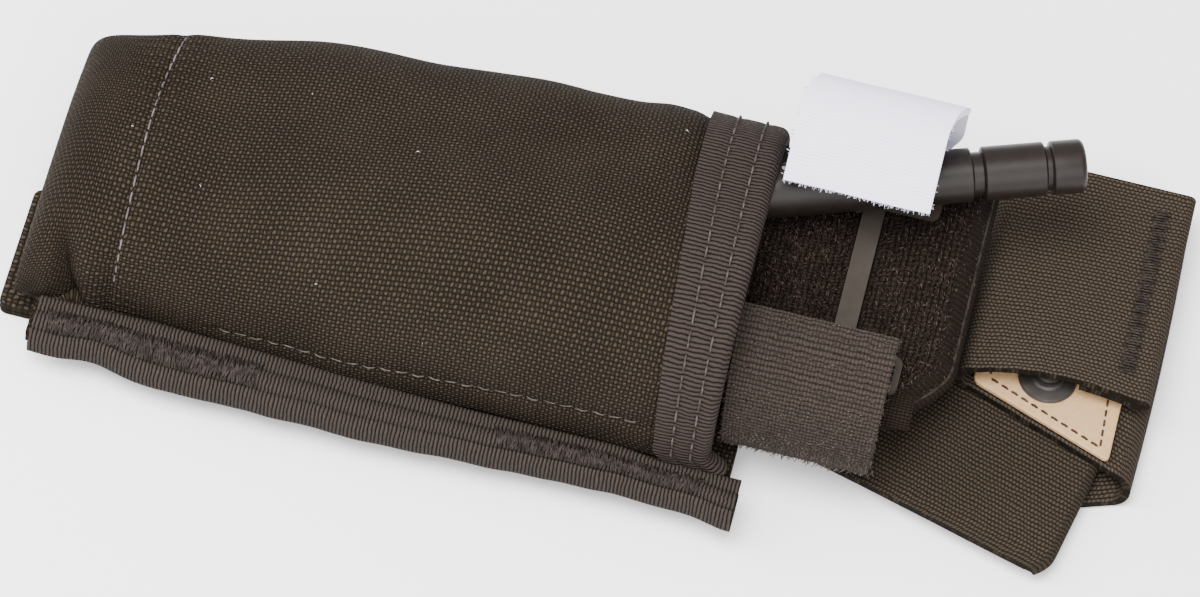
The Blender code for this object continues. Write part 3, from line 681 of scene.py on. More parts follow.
def mouth_binding():
    turn = CLOTH / 2 + 0.0005 + TAPE / 2
    hidden = turn + TAPE / 2
    flat_steps = 18
    fold = [(-TAPE_COVER + (TAPE_COVER - hidden) * k / flat_steps, turn) for k in range(flat_steps + 1)]
    fold += [
        (-hidden + turn * cos(radians(a)), turn * sin(radians(a)))
        for a in range(75, -76, -15)
    ]
    fold += [(-hidden + (hidden - TAPE_COVER) * k / flat_steps, -turn) for k in range(flat_steps + 1)]
    around = 150
    near_end = pi - 0.028
    far_end = 0.075

    def groove(back):
        return sum(peak(back, row, 0.0007) for row in TAPE_ROWS)

    def place(u, v):
        back, offset = fold[round(u * (len(fold) - 1))]
        t = near_end + (far_end - near_end) * v
        if offset > 0:
            offset -= 0.00022 * groove(back)
        return mouth_tape_point(back, offset, t)

    girth = [0.0]
    middle = [mouth_tape_point(-TAPE_COVER / 2, turn, near_end + (far_end - near_end) * k / around)
              for k in range(around + 1)]
    for here, ahead in zip(middle, middle[1:]):
        girth.append(girth[-1] + (ahead - here).length)

    def uv(u, v):
        return (girth[round(v * around)] / MM, u * 28.0)

    mesh = slab(place, len(fold) - 1, around, TAPE, uv)
    piece = finish("mouth_tape", mesh, MOUTH_GROSGRAIN, "pouch", "grosgrain", ("mouth_binding",))
    rows = Threads()
    for row in TAPE_ROWS:
        def along(s, row=row):
            t = pi - 0.12 - s / 0.0283
            base = mouth_tape_point(row, turn, t)
            out = (mouth_tape_point(row, turn + 0.001, t) - base).normalized()
            return base + out * (TAPE / 2 - 0.0001), out

        rows.stitches(along, 0.0283 * (pi - 0.24), 0.0027, 0.0002, 0.00042)
    finish("mouth_tape_stitches", rows.mesh(), DARK_THREAD, "pouch", "grosgrain")


def flange_edge(x, side):
    """The side tape's outer edge is a little wavy."""
    return 0.0007 * rough((x, 0.0, side), 45.0, 2.0) + 0.0004 * rough((x, 0.3, side), 130.0, 4.0)


def side_tape_point(across, z, x, side):
    """A point on a side tape, across from 0 at its inner edge to 1 at its outer one."""
    dip = 0.0007 * rough((x, across * 0.011, side * 2.0), 70.0, 6.0) * across
    wander = flange_edge(x, side) * across
    climb = 0.0004 * (1 - ease(across, 0.0, 0.2))
    if side > 0:
        y = far_flange(x) + FAR_BINDING[0] + (FAR_BINDING[1] - FAR_BINDING[0]) * across
        return Vector((x, y + wander * 0.5, z + dip * 0.5))
    inner = BINDING_INNER + near_spread(x) + 0.0010 * ease(x, -0.022, -0.012)
    y = inner + (BINDING_OUTER - inner) * across
    for centre, spread, pull in EDGE_PULLS:
        wander -= pull * peak(x, centre, spread) * across
    return Vector((x, -y - wander, z + dip + (climb if z > FLANGE_Z else 0.0)))


def side_binding(side, name, rows_at):
    low = 0.0046 + TAPE / 2
    high = 0.0100 - TAPE / 2
    width = FAR_BINDING[1] - FAR_BINDING[0] if side > 0 else BINDING_OUTER - BINDING_INNER - NEAR_SPREAD[0]
    outer = 1 - TAPE / 2 / width
    bend = 0.0014 / width
    count = 30
    straight = outer - bend
    fold = [(straight * k / count, high) for k in range(count + 1)]
    fold += [(straight + bend * sin(radians(a)), high - 0.0014 * (1 - cos(radians(a))))
             for a in (30, 60, 90)]
    fold += [(straight + bend * sin(radians(a)), low + 0.0014 * (1 + cos(radians(a))))
             for a in (90, 120, 150)]
    fold += [(straight * (1 - k / 6), low) for k in range(7)]
    start = FAR_BINDING_START if side > 0 else FLANGE_X[0] + 0.0008
    end = FLANGE_X[1] if side > 0 else FLANGE_X[1] + NEAR_REACH

    def quilted(across):
        """The rows of stitches draw the tape down between three raised strips."""
        edges = [0.0, *rows_at, outer]
        for first, last in zip(edges, edges[1:]):
            if first <= across <= last:
                swell = 0.0014 if first in rows_at and last in rows_at else 0.0009
                return swell * (sin(pi * (across - first) / (last - first)) ** 0.5) - 0.0007
        return 0.0

    def place(u, v):
        across, z = fold[round(u * (len(fold) - 1))]
        if u < 0.8 and z >= high - 0.00001:
            z += quilted(across)
        return side_tape_point(across, z, start + (end - start) * v, side)

    def uv(u, v):
        return (v * (end - start) / MM, u * 27.0)

    mesh = slab(place, len(fold) - 1, 170, TAPE, uv)
    piece = finish(f"{name}_tape", mesh, GROSGRAIN, "pouch", "grosgrain", (name,))
    rows = Threads()
    for row in rows_at:
        def along(s, row=row):
            point = side_tape_point(row, high + TAPE / 2 - 0.00062, start + 0.002 + s, side)
            return point, UP

        rows.stitches(along, end - start - 0.005, 0.0026, 0.0002, 0.00042)
    finish(f"{name}_stitches", rows.mesh(), TACK_THREAD, "pouch", "grosgrain")


def side_tacks():
    """Dense bar tacks over the near tape's middle strip, at both ends of the pouch."""
    tacks = Threads(4)
    draw = random.Random(12)
    top = 0.0100 - 0.0002
    for first, last in TACK_ZONES:
        x = first
        while x < last:
            ends = [NEAR_ROWS[0] - 0.06, NEAR_ROWS[1] + 0.04]
            draw.shuffle(ends)
            points = []
            for f in (0.0, 0.33, 0.66, 1.0):
                across = ends[0] + (ends[1] - ends[0]) * f + draw.uniform(-0.02, 0.02)
                spot_x = x + 0.0011 * f + draw.uniform(-0.0002, 0.0002)
                point = side_tape_point(across, top + 0.0006, spot_x, -1)
                arch = 0.0003 * sin(pi * f)
                points.append(point + Vector((0.0, 0.0, arch + draw.uniform(-0.0001, 0.00015))))
            tacks.add(points, 0.00018)
            x += draw.uniform(0.00022, 0.00045)
    finish("side_binding_near_tacks", tacks.mesh(), TACK_THREAD, "pouch", "grosgrain")


# ---------------------------------------------------------------- back of the pouch

def flat_cloth(name, low, high, material, body, slot, replaced, uneven=0.0002, corner=0.002):
    """A flat piece of cloth filling a box, its corners rounded off and its face a little uneven."""
    size = high - low
    middle = (low + high) / 2
    thickness = size.z

    def round_corner(x, y):
        dx = max(abs(x) - (size.x / 2 - corner), 0.0)
        dy = max(abs(y) - (size.y / 2 - corner), 0.0)
        reach = hypot(dx, dy)
        if reach > corner and dx > 0 and dy > 0:
            x -= copysign(dx - dx * corner / reach, x)
            y -= copysign(dy - dy * corner / reach, y)
        return x, y

    steps_x = max(int(size.x / 0.0012), 8)
    steps_y = max(int(size.y / 0.0012), 8)

    def place(u, v):
        x, y = round_corner((u - 0.5) * size.x, (v - 0.5) * size.y)
        z = uneven * rough((x, y, low.z), 55.0, 1.7)
        return middle + Vector((x, y, z))

    def uv(u, v):
        return (u * size.x / MM, v * size.y / MM)

    mesh = slab(place, steps_x, steps_y, thickness - 2 * uneven, uv)
    piece = finish(name, mesh, material, body, slot, replaced)


def back_cloth(name, node, far_in):
    """A layer of the back whose far edge follows the far flange."""
    low, high = part_box(node)

    def place(u, v):
        x = low.x + (high.x - low.x) * v
        far = far_flange(x) - far_in - FAR_CORNER * (1 - ease(x, low.x, low.x + 0.010)) ** 2
        y = far + (low.y - far) * u
        return Vector((x, y, (low.z + high.z) / 2 + 0.00015 * rough((x, y, low.z), 55.0, 1.7)))

    def uv(u, v):
        return (v * 125.0, u * 73.0)

    mesh = slab(place, 60, 100, high.z - low.z - 0.0003, uv)
    piece = finish(name, mesh, CORDURA, "pouch", "cordura", (node,))


def back_of_pouch():
    back_cloth("back_panel_cloth", "back_panel", 0.0)
    back_cloth("back_facing_cloth", "back_facing", 0.0038)
    flat_cloth("back_lining_cloth", *part_box("back_lining"), LINING, "pouch", "cordura", ("back_lining",))
    threads = Threads()
    for number in (1, 2, 3):
        low, high = part_box(f"ladder_webbing_{number}")
        low.y += 0.0010
        flat_cloth(f"ladder_strip_{number}", low, high, WEBBING, "pouch", "webbing",
                   (f"ladder_webbing_{number}",), uneven=0.0001)
        for y in (low.y + 0.004, -0.0030, 0.0030, high.y - 0.004):
            for x in (low.x + 0.002, high.x - 0.002):
                row = straight(Vector((x, y - 0.002, low.z - 0.00003)), Y_WAY, -UP)
                threads.stitches(row, 0.004, 0.0010, 0.0002, 0.0003)
    finish("ladder_stitches", threads.mesh(), DARK_THREAD, "pouch", "webbing")
    for side in ("near", "far"):
        low, high = part_box(f"attachment_strap_{side}")
        if side == "near":
            low.x -= STRAP_REACH
        attachment_strap(side, low, high)


def attachment_strap(side, low, high):
    """Two layers of webbing stitched along their edges and boxed at the free end."""
    middle = (low.z + high.z) / 2
    body = f"attachment_{side}"
    for layer, bottom, top in (("under", low.z, middle - 0.00005), ("upper", middle + 0.00005, high.z)):
        flat_cloth(f"strap_{side}_{layer}", Vector((low.x, low.y, bottom)), Vector((high.x, high.y, top)),
                   WEBBING, body, "webbing", (f"attachment_strap_{side}",) if layer == "under" else (),
                   uneven=0.00006, corner=STRAP_CORNERS[side])
    rows = Threads()
    for z, out in ((low.z, -1.0), (high.z, 1.0)):
        level = z - out * 0.00030
        for y in (low.y + 0.003, high.y - 0.003):
            row = straight(Vector((low.x + 0.002, y, level)), X_WAY, UP * out)
            rows.stitches(row, high.x - low.x - 0.004, 0.0028, 0.0002, 0.00032)
        for x in (low.x + 0.002, low.x + 0.022):
            row = straight(Vector((x, low.y + 0.003, level)), Y_WAY, UP * out)
            rows.stitches(row, 0.0194, 0.0028, 0.0002, 0.00032)
    finish(f"strap_{side}_stitches", rows.mesh(), DARK_THREAD, body, "webbing")


# ---------------------------------------------------------------- retention strap

def root_run():
    """From the back panel's edge to a fold, and back under itself."""
    origin = Vector((0.0190, -0.0006, ROOT_Z))
    along = Vector((cos(ROOT_TURN), sin(ROOT_TURN), 0.0))
    across = Vector((-along.y, along.x, 0.0))
    radius = (ROOT_Z - UNDER_Z) / 2
    length = 0.0428
    back = 0.0215
    skew = tan(radians(5.0))
    rows = [("start", 0.0)] + [("run", k / 44) for k in range(45)]
    rows += [("turn", radians(a)) for a in range(15, 181, 15)]
    rows += [("back", back * k / 12) for k in range(1, 13)]

    def place(u, v):
        kind, value = rows[round(u * (len(rows) - 1))]
        drawn = {"back": 1.0, "turn": value / pi}.get(kind, 0.0)
        t = ELASTIC_WIDTH * (v - 0.5) * (1 - 0.045 * drawn)
        corner = max(abs(t) - (ELASTIC_WIDTH / 2 - 0.005), 0.0) / 0.005
        edge = length - t * skew - radius - 0.0026 * corner ** 2
        drop = 0.0
        start = (-0.0009 - (origin + across * t).x) / along.x
        if kind in ("start", "run"):
            edge = start + (edge - start) * value
        elif kind == "turn":
            edge += radius * sin(value)
            drop = radius * (1 - cos(value))
        else:
            edge -= value
            drop = 2 * radius
        point = origin + across * t + along * edge - Vector((0, 0, drop))
        if kind in ("start", "run"):
            point.z += 0.00035 * rough((point.x, point.y, 0.0), 60.0, 8.0) * sin(pi * value)
        return point

    def uv(u, v):
        return (u * 90.0, v * 50.0)

    mesh = slab(place, len(rows) - 1, 50, ELASTIC, uv)
    piece = finish("elastic_root_run", mesh, ELASTIC_PLAIN, "pouch", "elastic", ("strap_root_run",))


def return_edges(x):
    """The near and far edges of the return run at x."""
    near = -0.0146 - (x - TURN_X) * tan(-RETURN_TURN)
    far = min(near + ELASTIC_WIDTH / cos(RETURN_TURN), RETURN_FAR_Y)
    return near, far


def turning_run():
    """The lowest run, the turn at the right and the run back above it, as one strip."""
    slope = tan(-RETURN_TURN)
    rows = [("low", k / 16) for k in range(17)]
    rows += [("turn", radians(a)) for a in range(10, 171, 10)]
    rows += [("high", k / 22) for k in range(23)]
    width = ELASTIC_WIDTH / cos(RETURN_TURN)

    def place(u, v):
        kind, value = rows[round(u * (len(rows) - 1))]
        near_high = return_edges(TURN_X)[0]
        rise = TURN_RADIUS * pi * slope
        near_low = near_high - rise + 0.0006
        if kind == "low":
            x = TURN_X - 0.0200 * (1 - value)
            y = near_low + (x - TURN_X) * slope + width * v
            return Vector((x, y, LOWER_Z))
        if kind == "turn":
            soft = 1 + 0.25 * sin(pi * v) * sin(value)
            x = TURN_X + TURN_RADIUS * sin(value) * soft * 0.86
            y = near_low + (near_high - near_low) * value / pi + width * v
            return Vector((x, y, LOWER_Z + TURN_RADIUS * (1 - cos(value))))
        x = TURN_X + (SPLIT_X - TURN_X) * value
        near, far = return_edges(x)
        z = RETURN_Z + 0.00012 * rough((x, v * 0.05, 0.0), 80.0, 2.0)
        return Vector((x, near + (far - near) * v, z))

    def uv(u, v):
        return (u * 60.0, v * 50.0)

    mesh = slab(place, len(rows) - 1, 50, ELASTIC, uv)
    piece = finish("elastic_turning_run", mesh, ELASTIC_KNIT, None, "elastic")
    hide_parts("strap_lower_run", "strap_return_run")
    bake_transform(piece)


def end_point(x, f, lift=0.0):
    """A point on the strap's free end: x from its left-hand fold, f from its near to its far edge."""
    across = END_FAR - END_NEAR
    near_slope = tan(radians(3.0))
    base = Vector((END_FOLD_X, 0.0, 0.0)) + END_NEAR + across * f
    base += Vector((x, x * near_slope * (1 - f), 0.0))
    swell = sin(pi * min(x / 0.030, 1.0)) * ease(x, 0.0, 0.004)
    base.z += (0.0004 * sin(pi * f) + 0.0009 * (1 - f) ** 3) * swell + lift
    base.y += 0.0014 * (1 - f) ** 3 * swell
    return base


def end_run():
    """The strip from under the fold, round it, and out to the hemmed end on top."""
    length = END_EDGE_X - END_FOLD_X
    hem = 0.0122
    drop = ELASTIC + 0.0003
    bend = drop / 2
    rows = [("under", k / 4) for k in range(5)]
    rows += [("fold", radians(a)) for a in range(15, 166, 15)]
    rows += [("top", k / 34) for k in range(35)]
    rows += [("tip", radians(a)) for a in range(20, 161, 20)]
    rows += [("hem", k / 14) for k in range(15)]

    def place(u, v):
        kind, value = rows[round(u * (len(rows) - 1))]
        if kind == "under":
            x = SPLIT_X - (SPLIT_X - END_FOLD_X - 0.001) * value
            near, far = return_edges(x)
            return Vector((x, near + (far - near) * v, RETURN_Z))
        if kind == "fold":
            near, far = return_edges(END_FOLD_X + 0.001)
            low = Vector((END_FOLD_X + 0.001, near + (far - near) * v, RETURN_Z))
            high = end_point(0.001, v)
            share = (1 - cos(value)) / 2
            point = low.lerp(high, share)
            point.x -= 0.0022 * sin(value)
            return point
        if kind == "top":
            return end_point(0.001 + (length - 0.001 - bend) * value, v)
        if kind == "tip":
            point = end_point(length - bend, v)
            return point + Vector((bend * sin(value), 0.0, -bend * (1 - cos(value))))
        return end_point(length - bend - (hem - bend) * value, v) - Vector((0.0, 0.0, drop))

    def uv(u, v):
        return (u * 56.0, v * 50.0)

    mesh = slab(place, len(rows) - 1, 56, ELASTIC * 0.9, uv)
    piece = finish("elastic_end_run", mesh, ELASTIC_KNIT, None, "elastic")
    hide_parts("strap_end_run", "strap_end_hem")
    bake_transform(piece)


def hem_tack():
    """A dense row of tacking across the strap's hem."""
    tack = Threads(4)
    draw = random.Random(5)
    count = 62
    x = END_EDGE_X - END_FOLD_X - 0.0048
    for k in range(count):
        f = 0.10 + 0.80 * k / count
        left = end_point(x - 0.0014 - draw.uniform(0.0, 0.0003), f, ELASTIC / 2)
        right = end_point(x + 0.0014 + draw.uniform(0.0, 0.0003), f + 0.4 / count, ELASTIC / 2)
        if k % 2:
            left, right = right, left
        middle = (left + right) / 2 + Vector((0.0, 0.0, 0.00022))
        tack.add([left, middle, right], 0.00016 + draw.uniform(0.0, 0.00004))
    finish("hem_tack", tack.mesh(), TACK_THREAD, "strap_end", "elastic")


def rounded_outline(corners, radius, steps=5):
    """The outline of a polygon whose corners are rounded off."""
    points = []
    count = len(corners)
    for k in range(count):
        before = (corners[k - 1] - corners[k]).normalized()
        after = (corners[(k + 1) % count] - corners[k]).normalized()
        for s in range(steps + 1):
            f = s / steps
            a = corners[k] + before * radius * (1 - f)
            b = corners[k] + after * radius * f
            points.append(a.lerp(b, f))
    return points


def solid_from_outline(points, bottom, top, bevel):
    """A flat solid with that outline, its edges rounded."""
    bm = bmesh.new()
    face = bm.faces.new([bm.verts.new((p.x, p.y, bottom)) for p in points])
    face.normal_update()
    if face.normal.z > 0:
        face.normal_flip()
    raised = bmesh.ops.extrude_face_region(bm, geom=[face])["geom"]
    tops = [item for item in raised if isinstance(item, bmesh.types.BMVert)]
    bmesh.ops.translate(bm, vec=(0.0, 0.0, top - bottom), verts=tops)
    bmesh.ops.recalc_face_normals(bm, faces=bm.faces)
    rim = [e for e in bm.edges if abs(e.verts[0].co.z - e.verts[1].co.z) < 1e-7]
    bmesh.ops.bevel(bm, geom=rim, offset=bevel, segments=3, affect="EDGES", profile=0.5)
    mesh = bpy.data.meshes.new("outline")
    bm.to_mesh(mesh)
    bm.free()
    mesh.shade_smooth()
    mesh.set_sharp_from_angle(angle=radians(40))
    return mesh


def snap_patch():
    """The tan leather patch with its sewn edge."""
    low, high = part_box("snap_patch")
    slope = tan(RETURN_TURN)
    size_x = high.x - low.x
    height = (high.y - low.y) + size_x * slope
    corners = [Vector((high.x, low.y)), Vector((high.x, low.y + height)),
               Vector((low.x, low.y + height - size_x * slope)), Vector((low.x, low.y - size_x * slope))]
    outline = rounded_outline(corners, 0.0014)
    mesh = solid_from_outline(outline, low.z, high.z, 0.0003)
    finish("snap_leather", mesh, LEATHER, "strap_return", "leather", ("snap_patch",))
    middle = (corners[0] + corners[2]) / 2
    inset = [p + (middle - p).normalized() * 0.0030 for p in corners]
    thread = Threads()
    for a, b in zip(inset, inset[1:] + inset[:1]):
        row = straight(Vector((a.x, a.y, high.z - 0.00015)), (b - a).normalized().to_3d())
        thread.stitches(row, (b - a).length, 0.0021, 0.00022, 0.0004)
    finish("snap_leather_stitches", thread.mesh(), LEATHER_THREAD, "strap_return", "leather")


def snap():
    """The snap's pressed disc, with the stud in its middle."""
    disc = [(0.0, 0.0009), (0.0026, 0.0009), (0.0030, 0.00055), (0.0040, 0.0006), (0.0049, 0.0005),
            (0.0052, 0.0001), (0.0052, 0.0), (0.0, 0.0)]
    stud = [(0.0, 0.0011), (0.0014, 0.0011), (0.0022, 0.0008), (0.0022, 0.0005), (0.0017, 0.0), (0.0, 0.0)]
    low, high = part_box("snap_disc")
    centre = (low + high) / 2
    for node, profile, steps in (("snap_disc", disc, 64), ("snap_stud", stud, 48)):
        spot = Vector((centre.x, centre.y, part_box(node)[0].z))
        finish(f"{node}_metal", turned(profile, steps), SNAP_METAL, "strap_return", "snap_metal", (node,),
               at=ORIGIN + spot)


def turned(profile, steps):
    """A turned solid about Z from a profile of (radius, height) that runs from its top down."""
    bm = bmesh.new()
    verts = [bm.verts.new((r, 0.0, z)) for r, z in profile]
    edges = [bm.edges.new(pair) for pair in zip(verts, verts[1:])]
    bmesh.ops.spin(bm, geom=verts + edges, angle=2 * pi, steps=steps, axis=(0, 0, 1), cent=(0, 0, 0))
    bmesh.ops.remove_doubles(bm, verts=bm.verts, dist=0.000002)
    bmesh.ops.recalc_face_normals(bm, faces=bm.faces)
    mesh = bpy.data.meshes.new("turned")
    bm.to_mesh(mesh)
    bm.free()
    mesh.shade_smooth()
    mesh.set_sharp_from_angle(angle=radians(35))
    return mesh


# ---------------------------------------------------------------- tourniquet

def band_ring(x_span, low, high, thickness, bend_steps, run_steps):
    """Centre points of a flat loop of band, seen from its side, from the bottom left round to the right."""
    middle = (low + high) / 2
    radius = (high - low - thickness) / 2
    right = x_span[1] - thickness / 2 - radius
    left = x_span[0] + thickness / 2 + radius
    ring = [(left + (right - left) * k / run_steps, middle - radius) for k in range(run_steps)]
    ring += [(right + radius * cos(a), middle + radius * sin(a))
             for a in (pi * k / bend_steps - pi / 2 for k in range(bend_steps))]
    ring += [(right - (right - left) * k / run_steps, middle + radius) for k in range(run_steps)]
    ring += [(left + radius * cos(a), middle + radius * sin(a))
             for a in (pi * k / bend_steps + pi / 2 for k in range(bend_steps))]
    return ring


def fold_slant(x, y, end):
    """The band's right-hand fold runs askew, cutting back its near corner."""
    return 0.0095 * (1 - ease(y, -0.0215, -0.0060)) * ease(x, end - 0.030, end)


def band_point(x, y, z):
    """A point on the band: its right-hand end fans out towards the far side and is cut back near."""
    fan = 0.0114 * ease(x, 0.0040, 0.0240) * ease(y, -0.0080, 0.0190)
    x += 0.0018 * ease(x, 0.0270, 0.0315) * (1 - ease(z, 0.0022, 0.0045))
    return STACK @ Vector((x - fold_slant(x, y, BAND_X[1]), y + fan, z))


def band_loop(name, x_span, low, high, half, thickness, replaced):
    ring = band_ring(x_span, low, high, thickness, 14, 50)
    count = len(ring)

    def place(u, v):
        x, z = ring[round(u * count) % count]
        y = half * (1 - 2 * v)
        return band_point(x, y, z)

    def uv(u, v):
        return (u * 290.0, v * half * 2 / MM)

    mesh = slab(place, count, 30, thickness, uv, closed=True)
    piece = finish(name, mesh, PILE_BASE, "tourniquet", "pile", (replaced,))


def pile_loops():
    """Loops of pile over the band's upper face beside the clip, lying in uneven rows."""
    fibres = Threads(3)
    draw = random.Random(21)
    top = BAND_HEIGHT
    x = -0.0050
    row = 0
    while x < 0.0314:
        y = -BAND_HALF + 0.0004
        while y < BAND_HALF - 0.0004:
            spot_x = x + draw.uniform(-0.0003, 0.0003)
            spot_y = y + (row % 2) * 0.0003 + draw.uniform(-0.0002, 0.0002)
            on_spine = 0.0098 < spot_x < 0.0146 and spot_y > -0.0165
            if not on_spine:
                tall = 0.0008 + 0.0006 * noise.noise(Vector((spot_x * 500, spot_y * 200, 0.0)))
                tall = max(tall + draw.uniform(-0.0002, 0.0003), 0.0004)
                turn = draw.uniform(0, pi)
                reach = Vector((cos(turn), sin(turn), 0.0)) * draw.uniform(0.00015, 0.00036)
                lean = Vector((draw.uniform(-0.0004, 0.0004), draw.uniform(-0.0004, 0.0004), 0.0))
                drop = 0.0022 * ease(spot_x, 0.0285, 0.0312)
                base = STACK.inverted() @ band_point(spot_x, spot_y, top - 0.0001 - drop)
                points = [base - reach, base - reach * 1.3 + Vector((0, 0, tall * 0.6)) + lean * 0.5,
                          base + Vector((0, 0, tall)) + lean,
                          base + reach * 1.3 + Vector((0, 0, tall * 0.6)) + lean * 0.5, base + reach]
                fibres.add([STACK @ p for p in points], draw.uniform(0.00006, 0.0001), 1.0)
            y += 0.00066
        x += 0.00066
        row += 1
    finish("pile_loops", fibres.mesh(), PILE_FIBRE, "tourniquet", "pile")


def band_fold_edge():
    """The woven edge that shows as a thin line round the band's folded end."""
    threads = Threads(8)
    x = BAND_X[1] - 0.0002
    points = [band_point(x, BAND_HALF * (1 - 2 * k / 40), BAND_HEIGHT * 0.62) for k in range(39)]
    threads.add([p + Vector((0.0002, 0.0, 0.0)) for p in points], 0.00034, 0.6)
    finish("band_fold_edge", threads.mesh(), EDGE_CLOTH, "tourniquet", "pile")


def rod_axes():
    """A rotation whose Z lies along the rod and whose Y points up."""
    side = Vector((0.0, 0.0, 1.0)).cross(ROD_RUN).normalized()
    up = ROD_RUN.cross(side)
    return Matrix((side, up, ROD_RUN)).transposed()


def rod_point(x):
    return ROD_THROUGH + ROD_RUN * (x / ROD_RUN.x)


def windlass_rod():
    """The turned rod: capped end, a narrow groove behind the cap and a wider one further in."""
    top = ROD_LENGTH / 2
    round_off = 0.0011
    profile = [(0.0, top), (0.0030, top)]
    profile += [(ROD_RADIUS - round_off * (1 - sin(radians(a))),
                 top - round_off * (1 - cos(radians(a)))) for a in range(10, 91, 16)]
    for first, last in ((0.0059, 0.0071), (0.0180, 0.0201)):
        profile += [(ROD_RADIUS, top - first + 0.0002), (ROD_RADIUS - 0.0002, top - first),
                    (ROD_NECK, top - first - 0.0002), (ROD_NECK, top - last + 0.0002),
                    (ROD_RADIUS - 0.0002, top - last), (ROD_RADIUS, top - last - 0.0002)]
    profile += [(ROD_RADIUS, round_off - top), (ROD_RADIUS - round_off, -top), (0.0, -top)]
    mesh = turned(profile, 96)
    middle = rod_point(ROD_END_X) - ROD_RUN * (ROD_LENGTH / 2)
    mesh.transform(Matrix.Translation(middle) @ rod_axes().to_4x4())
    finish("windlass_rod_moulded", mesh, ROD_PLASTIC, "windlass", "rod_plastic", ("windlass_rod",))


def inner_ribbon():
    route = [(0.0, -0.0067), (0.0, -0.0030), (0.0, 0.0030), (-0.0012, 0.0058), (-0.0045, 0.0048),
             (-0.0062, 0.0010), (-0.0064, -0.0032), (-0.0064, -0.0066)]
    place_at = Matrix.Translation(rod_point(ROD_PIVOT_X)) @ rod_axes().to_4x4()

    def place(u, v):
        y, z = smooth_path(route, u)
        return place_at @ Vector((y, z, 0.019 * (v - 0.5)))

    mesh = slab(place, 40, 16, 0.0008, lambda u, v: (u * 30.0, v * 19.0))
    piece = finish("inner_ribbon_weave", mesh, WEBBING, "windlass", "webbing", ("inner_ribbon",))


def bent_strap(name, route, thickness, material, body, slot, replaced, steps, ripple=0.0, flat_length=0.04,
               askew=None):
    """A strap as wide as STRAP_X, bent in the Y-Z plane along route."""
    width = STRAP_X[1] - STRAP_X[0]

    def place(u, v):
        y, z = smooth_path(route, u)
        wave = ripple * rough((v * 0.03, u * 0.03, 0.0), 70.0, 3.0)
        aside = askew(u, v) if askew else 0.0
        return Vector((STRAP_X[0] + width * v + aside, y + wave, z + wave))

    def uv(u, v):
        return (v * width / MM, u * flat_length / MM)

    mesh = slab(place, steps, 30, thickness, uv)
    piece = finish(name, mesh, material, body, slot, (replaced,))
    return place, piece


def time_strap():
    route = [(0.0270, 0.0262), (0.0298, 0.0300), (0.0306, 0.0355), (0.0290, 0.0410),
             (0.0253, 0.0443), (0.0198, 0.0446), (0.0135, 0.0419), (0.0079, 0.0382)]
    place, _ = bent_strap("time_strap_cloth", route, 0.0013, TIME_CLOTH, "time_strap", "time_cloth",
                          "time_strap", 60, 0.0001, 0.036,
                          lambda u, v: 0.0024 * ease(u, 0.05, 0.22) * (1 - ease(u, 0.40, 0.72)))
    fuzz = Threads(3)
    draw = random.Random(3)
    for k in range(260):
        on_end = k % 3 > 0
        u = 1.0 if on_end else draw.uniform(0.35, 1.0)
        v = draw.uniform(0.0, 1.0) if on_end else draw.choice((0.0, 1.0))
        base = place(u, v)
        out = Vector((0.0, -0.6, -0.8)) if on_end else Vector((1.0 if v else -1.0, 0.0, 0.0))
        under = (place(min(u + 0.02, 1.0), v) - place(max(u - 0.02, 0.0), v)).normalized()
        inside = Vector((0.0, under.z, -under.y))
        base += inside * draw.uniform(-0.0001, 0.0008)
        tip = out * draw.uniform(0.0001, 0.0005) + Vector([draw.uniform(-0.0003, 0.0003) for _ in range(3)])
        fuzz.add([base, base + tip * 0.7, base + tip + inside * 0.0002], 0.00005, 0.8)
    finish("time_strap_fuzz", fuzz.mesh(), WHITE_FIBRE, "time_strap", "time_cloth")


def tape_hooks(place, draw):
    """Rows of small hooks standing out of the flap."""
    hooks = Threads(3)
    rows = 30
    columns = 30
    for i in range(rows):
        for j in range(columns):
            u = 0.34 + 0.655 * (i + 0.5) / rows
            v = (j + 0.5 + 0.5 * (i % 2)) / (columns + 0.5)
            base = place(u, v)
            run = (place(min(u + 0.01, 1.0), v) - place(u - 0.01, v)).normalized()
            out = Vector((0.0, -run.z, run.y))
            if out.z < 0:
                out = -out
            base += out * 0.0005
            tall = draw.uniform(0.0007, 0.0011)
            side = Vector((1.0, 0.0, 0.0)) * draw.choice((-1, 1)) * draw.uniform(0.0002, 0.0004)
            bow = run * draw.uniform(-0.0003, 0.0003)
            hooks.add([base, base + out * tall * 0.7 + bow, base + out * tall + side * 0.6 + bow,
                       base + out * tall * 0.75 + side * 1.2 + bow], draw.uniform(0.00008, 0.00011), 0.9)
    return hooks


def loose_fibres(place, draw, hooks):
    """Loose fibres: the fold's in a mesh of their own, the other edges' among the hooks."""
    frayed = Threads(3)
    for k in range(1100):
        edge = k % 4
        v = draw.choice((0.0, 1.0)) if edge == 2 else draw.uniform(0.0, 1.0)
        if edge < 2:
            u = draw.uniform(0.06, 0.24)
        else:
            u = draw.uniform(0.4, 1.0) if edge == 2 else 1.0
        base = place(u, v)
        tip = Vector([draw.uniform(-1, 1), draw.uniform(-1.6, -0.3), draw.uniform(-0.6, 0.3)]).normalized()
        tip *= draw.uniform(0.0006, 0.0019) if edge < 2 else draw.uniform(0.0003, 0.0007)
        fibre = [base, base + tip * 0.6 + Vector((0.0002, 0.0, 0.0001)), base + tip]
        (frayed if edge < 2 else hooks).add(fibre, 0.00011 if edge < 2 else 0.00007, 0.7)
    return frayed


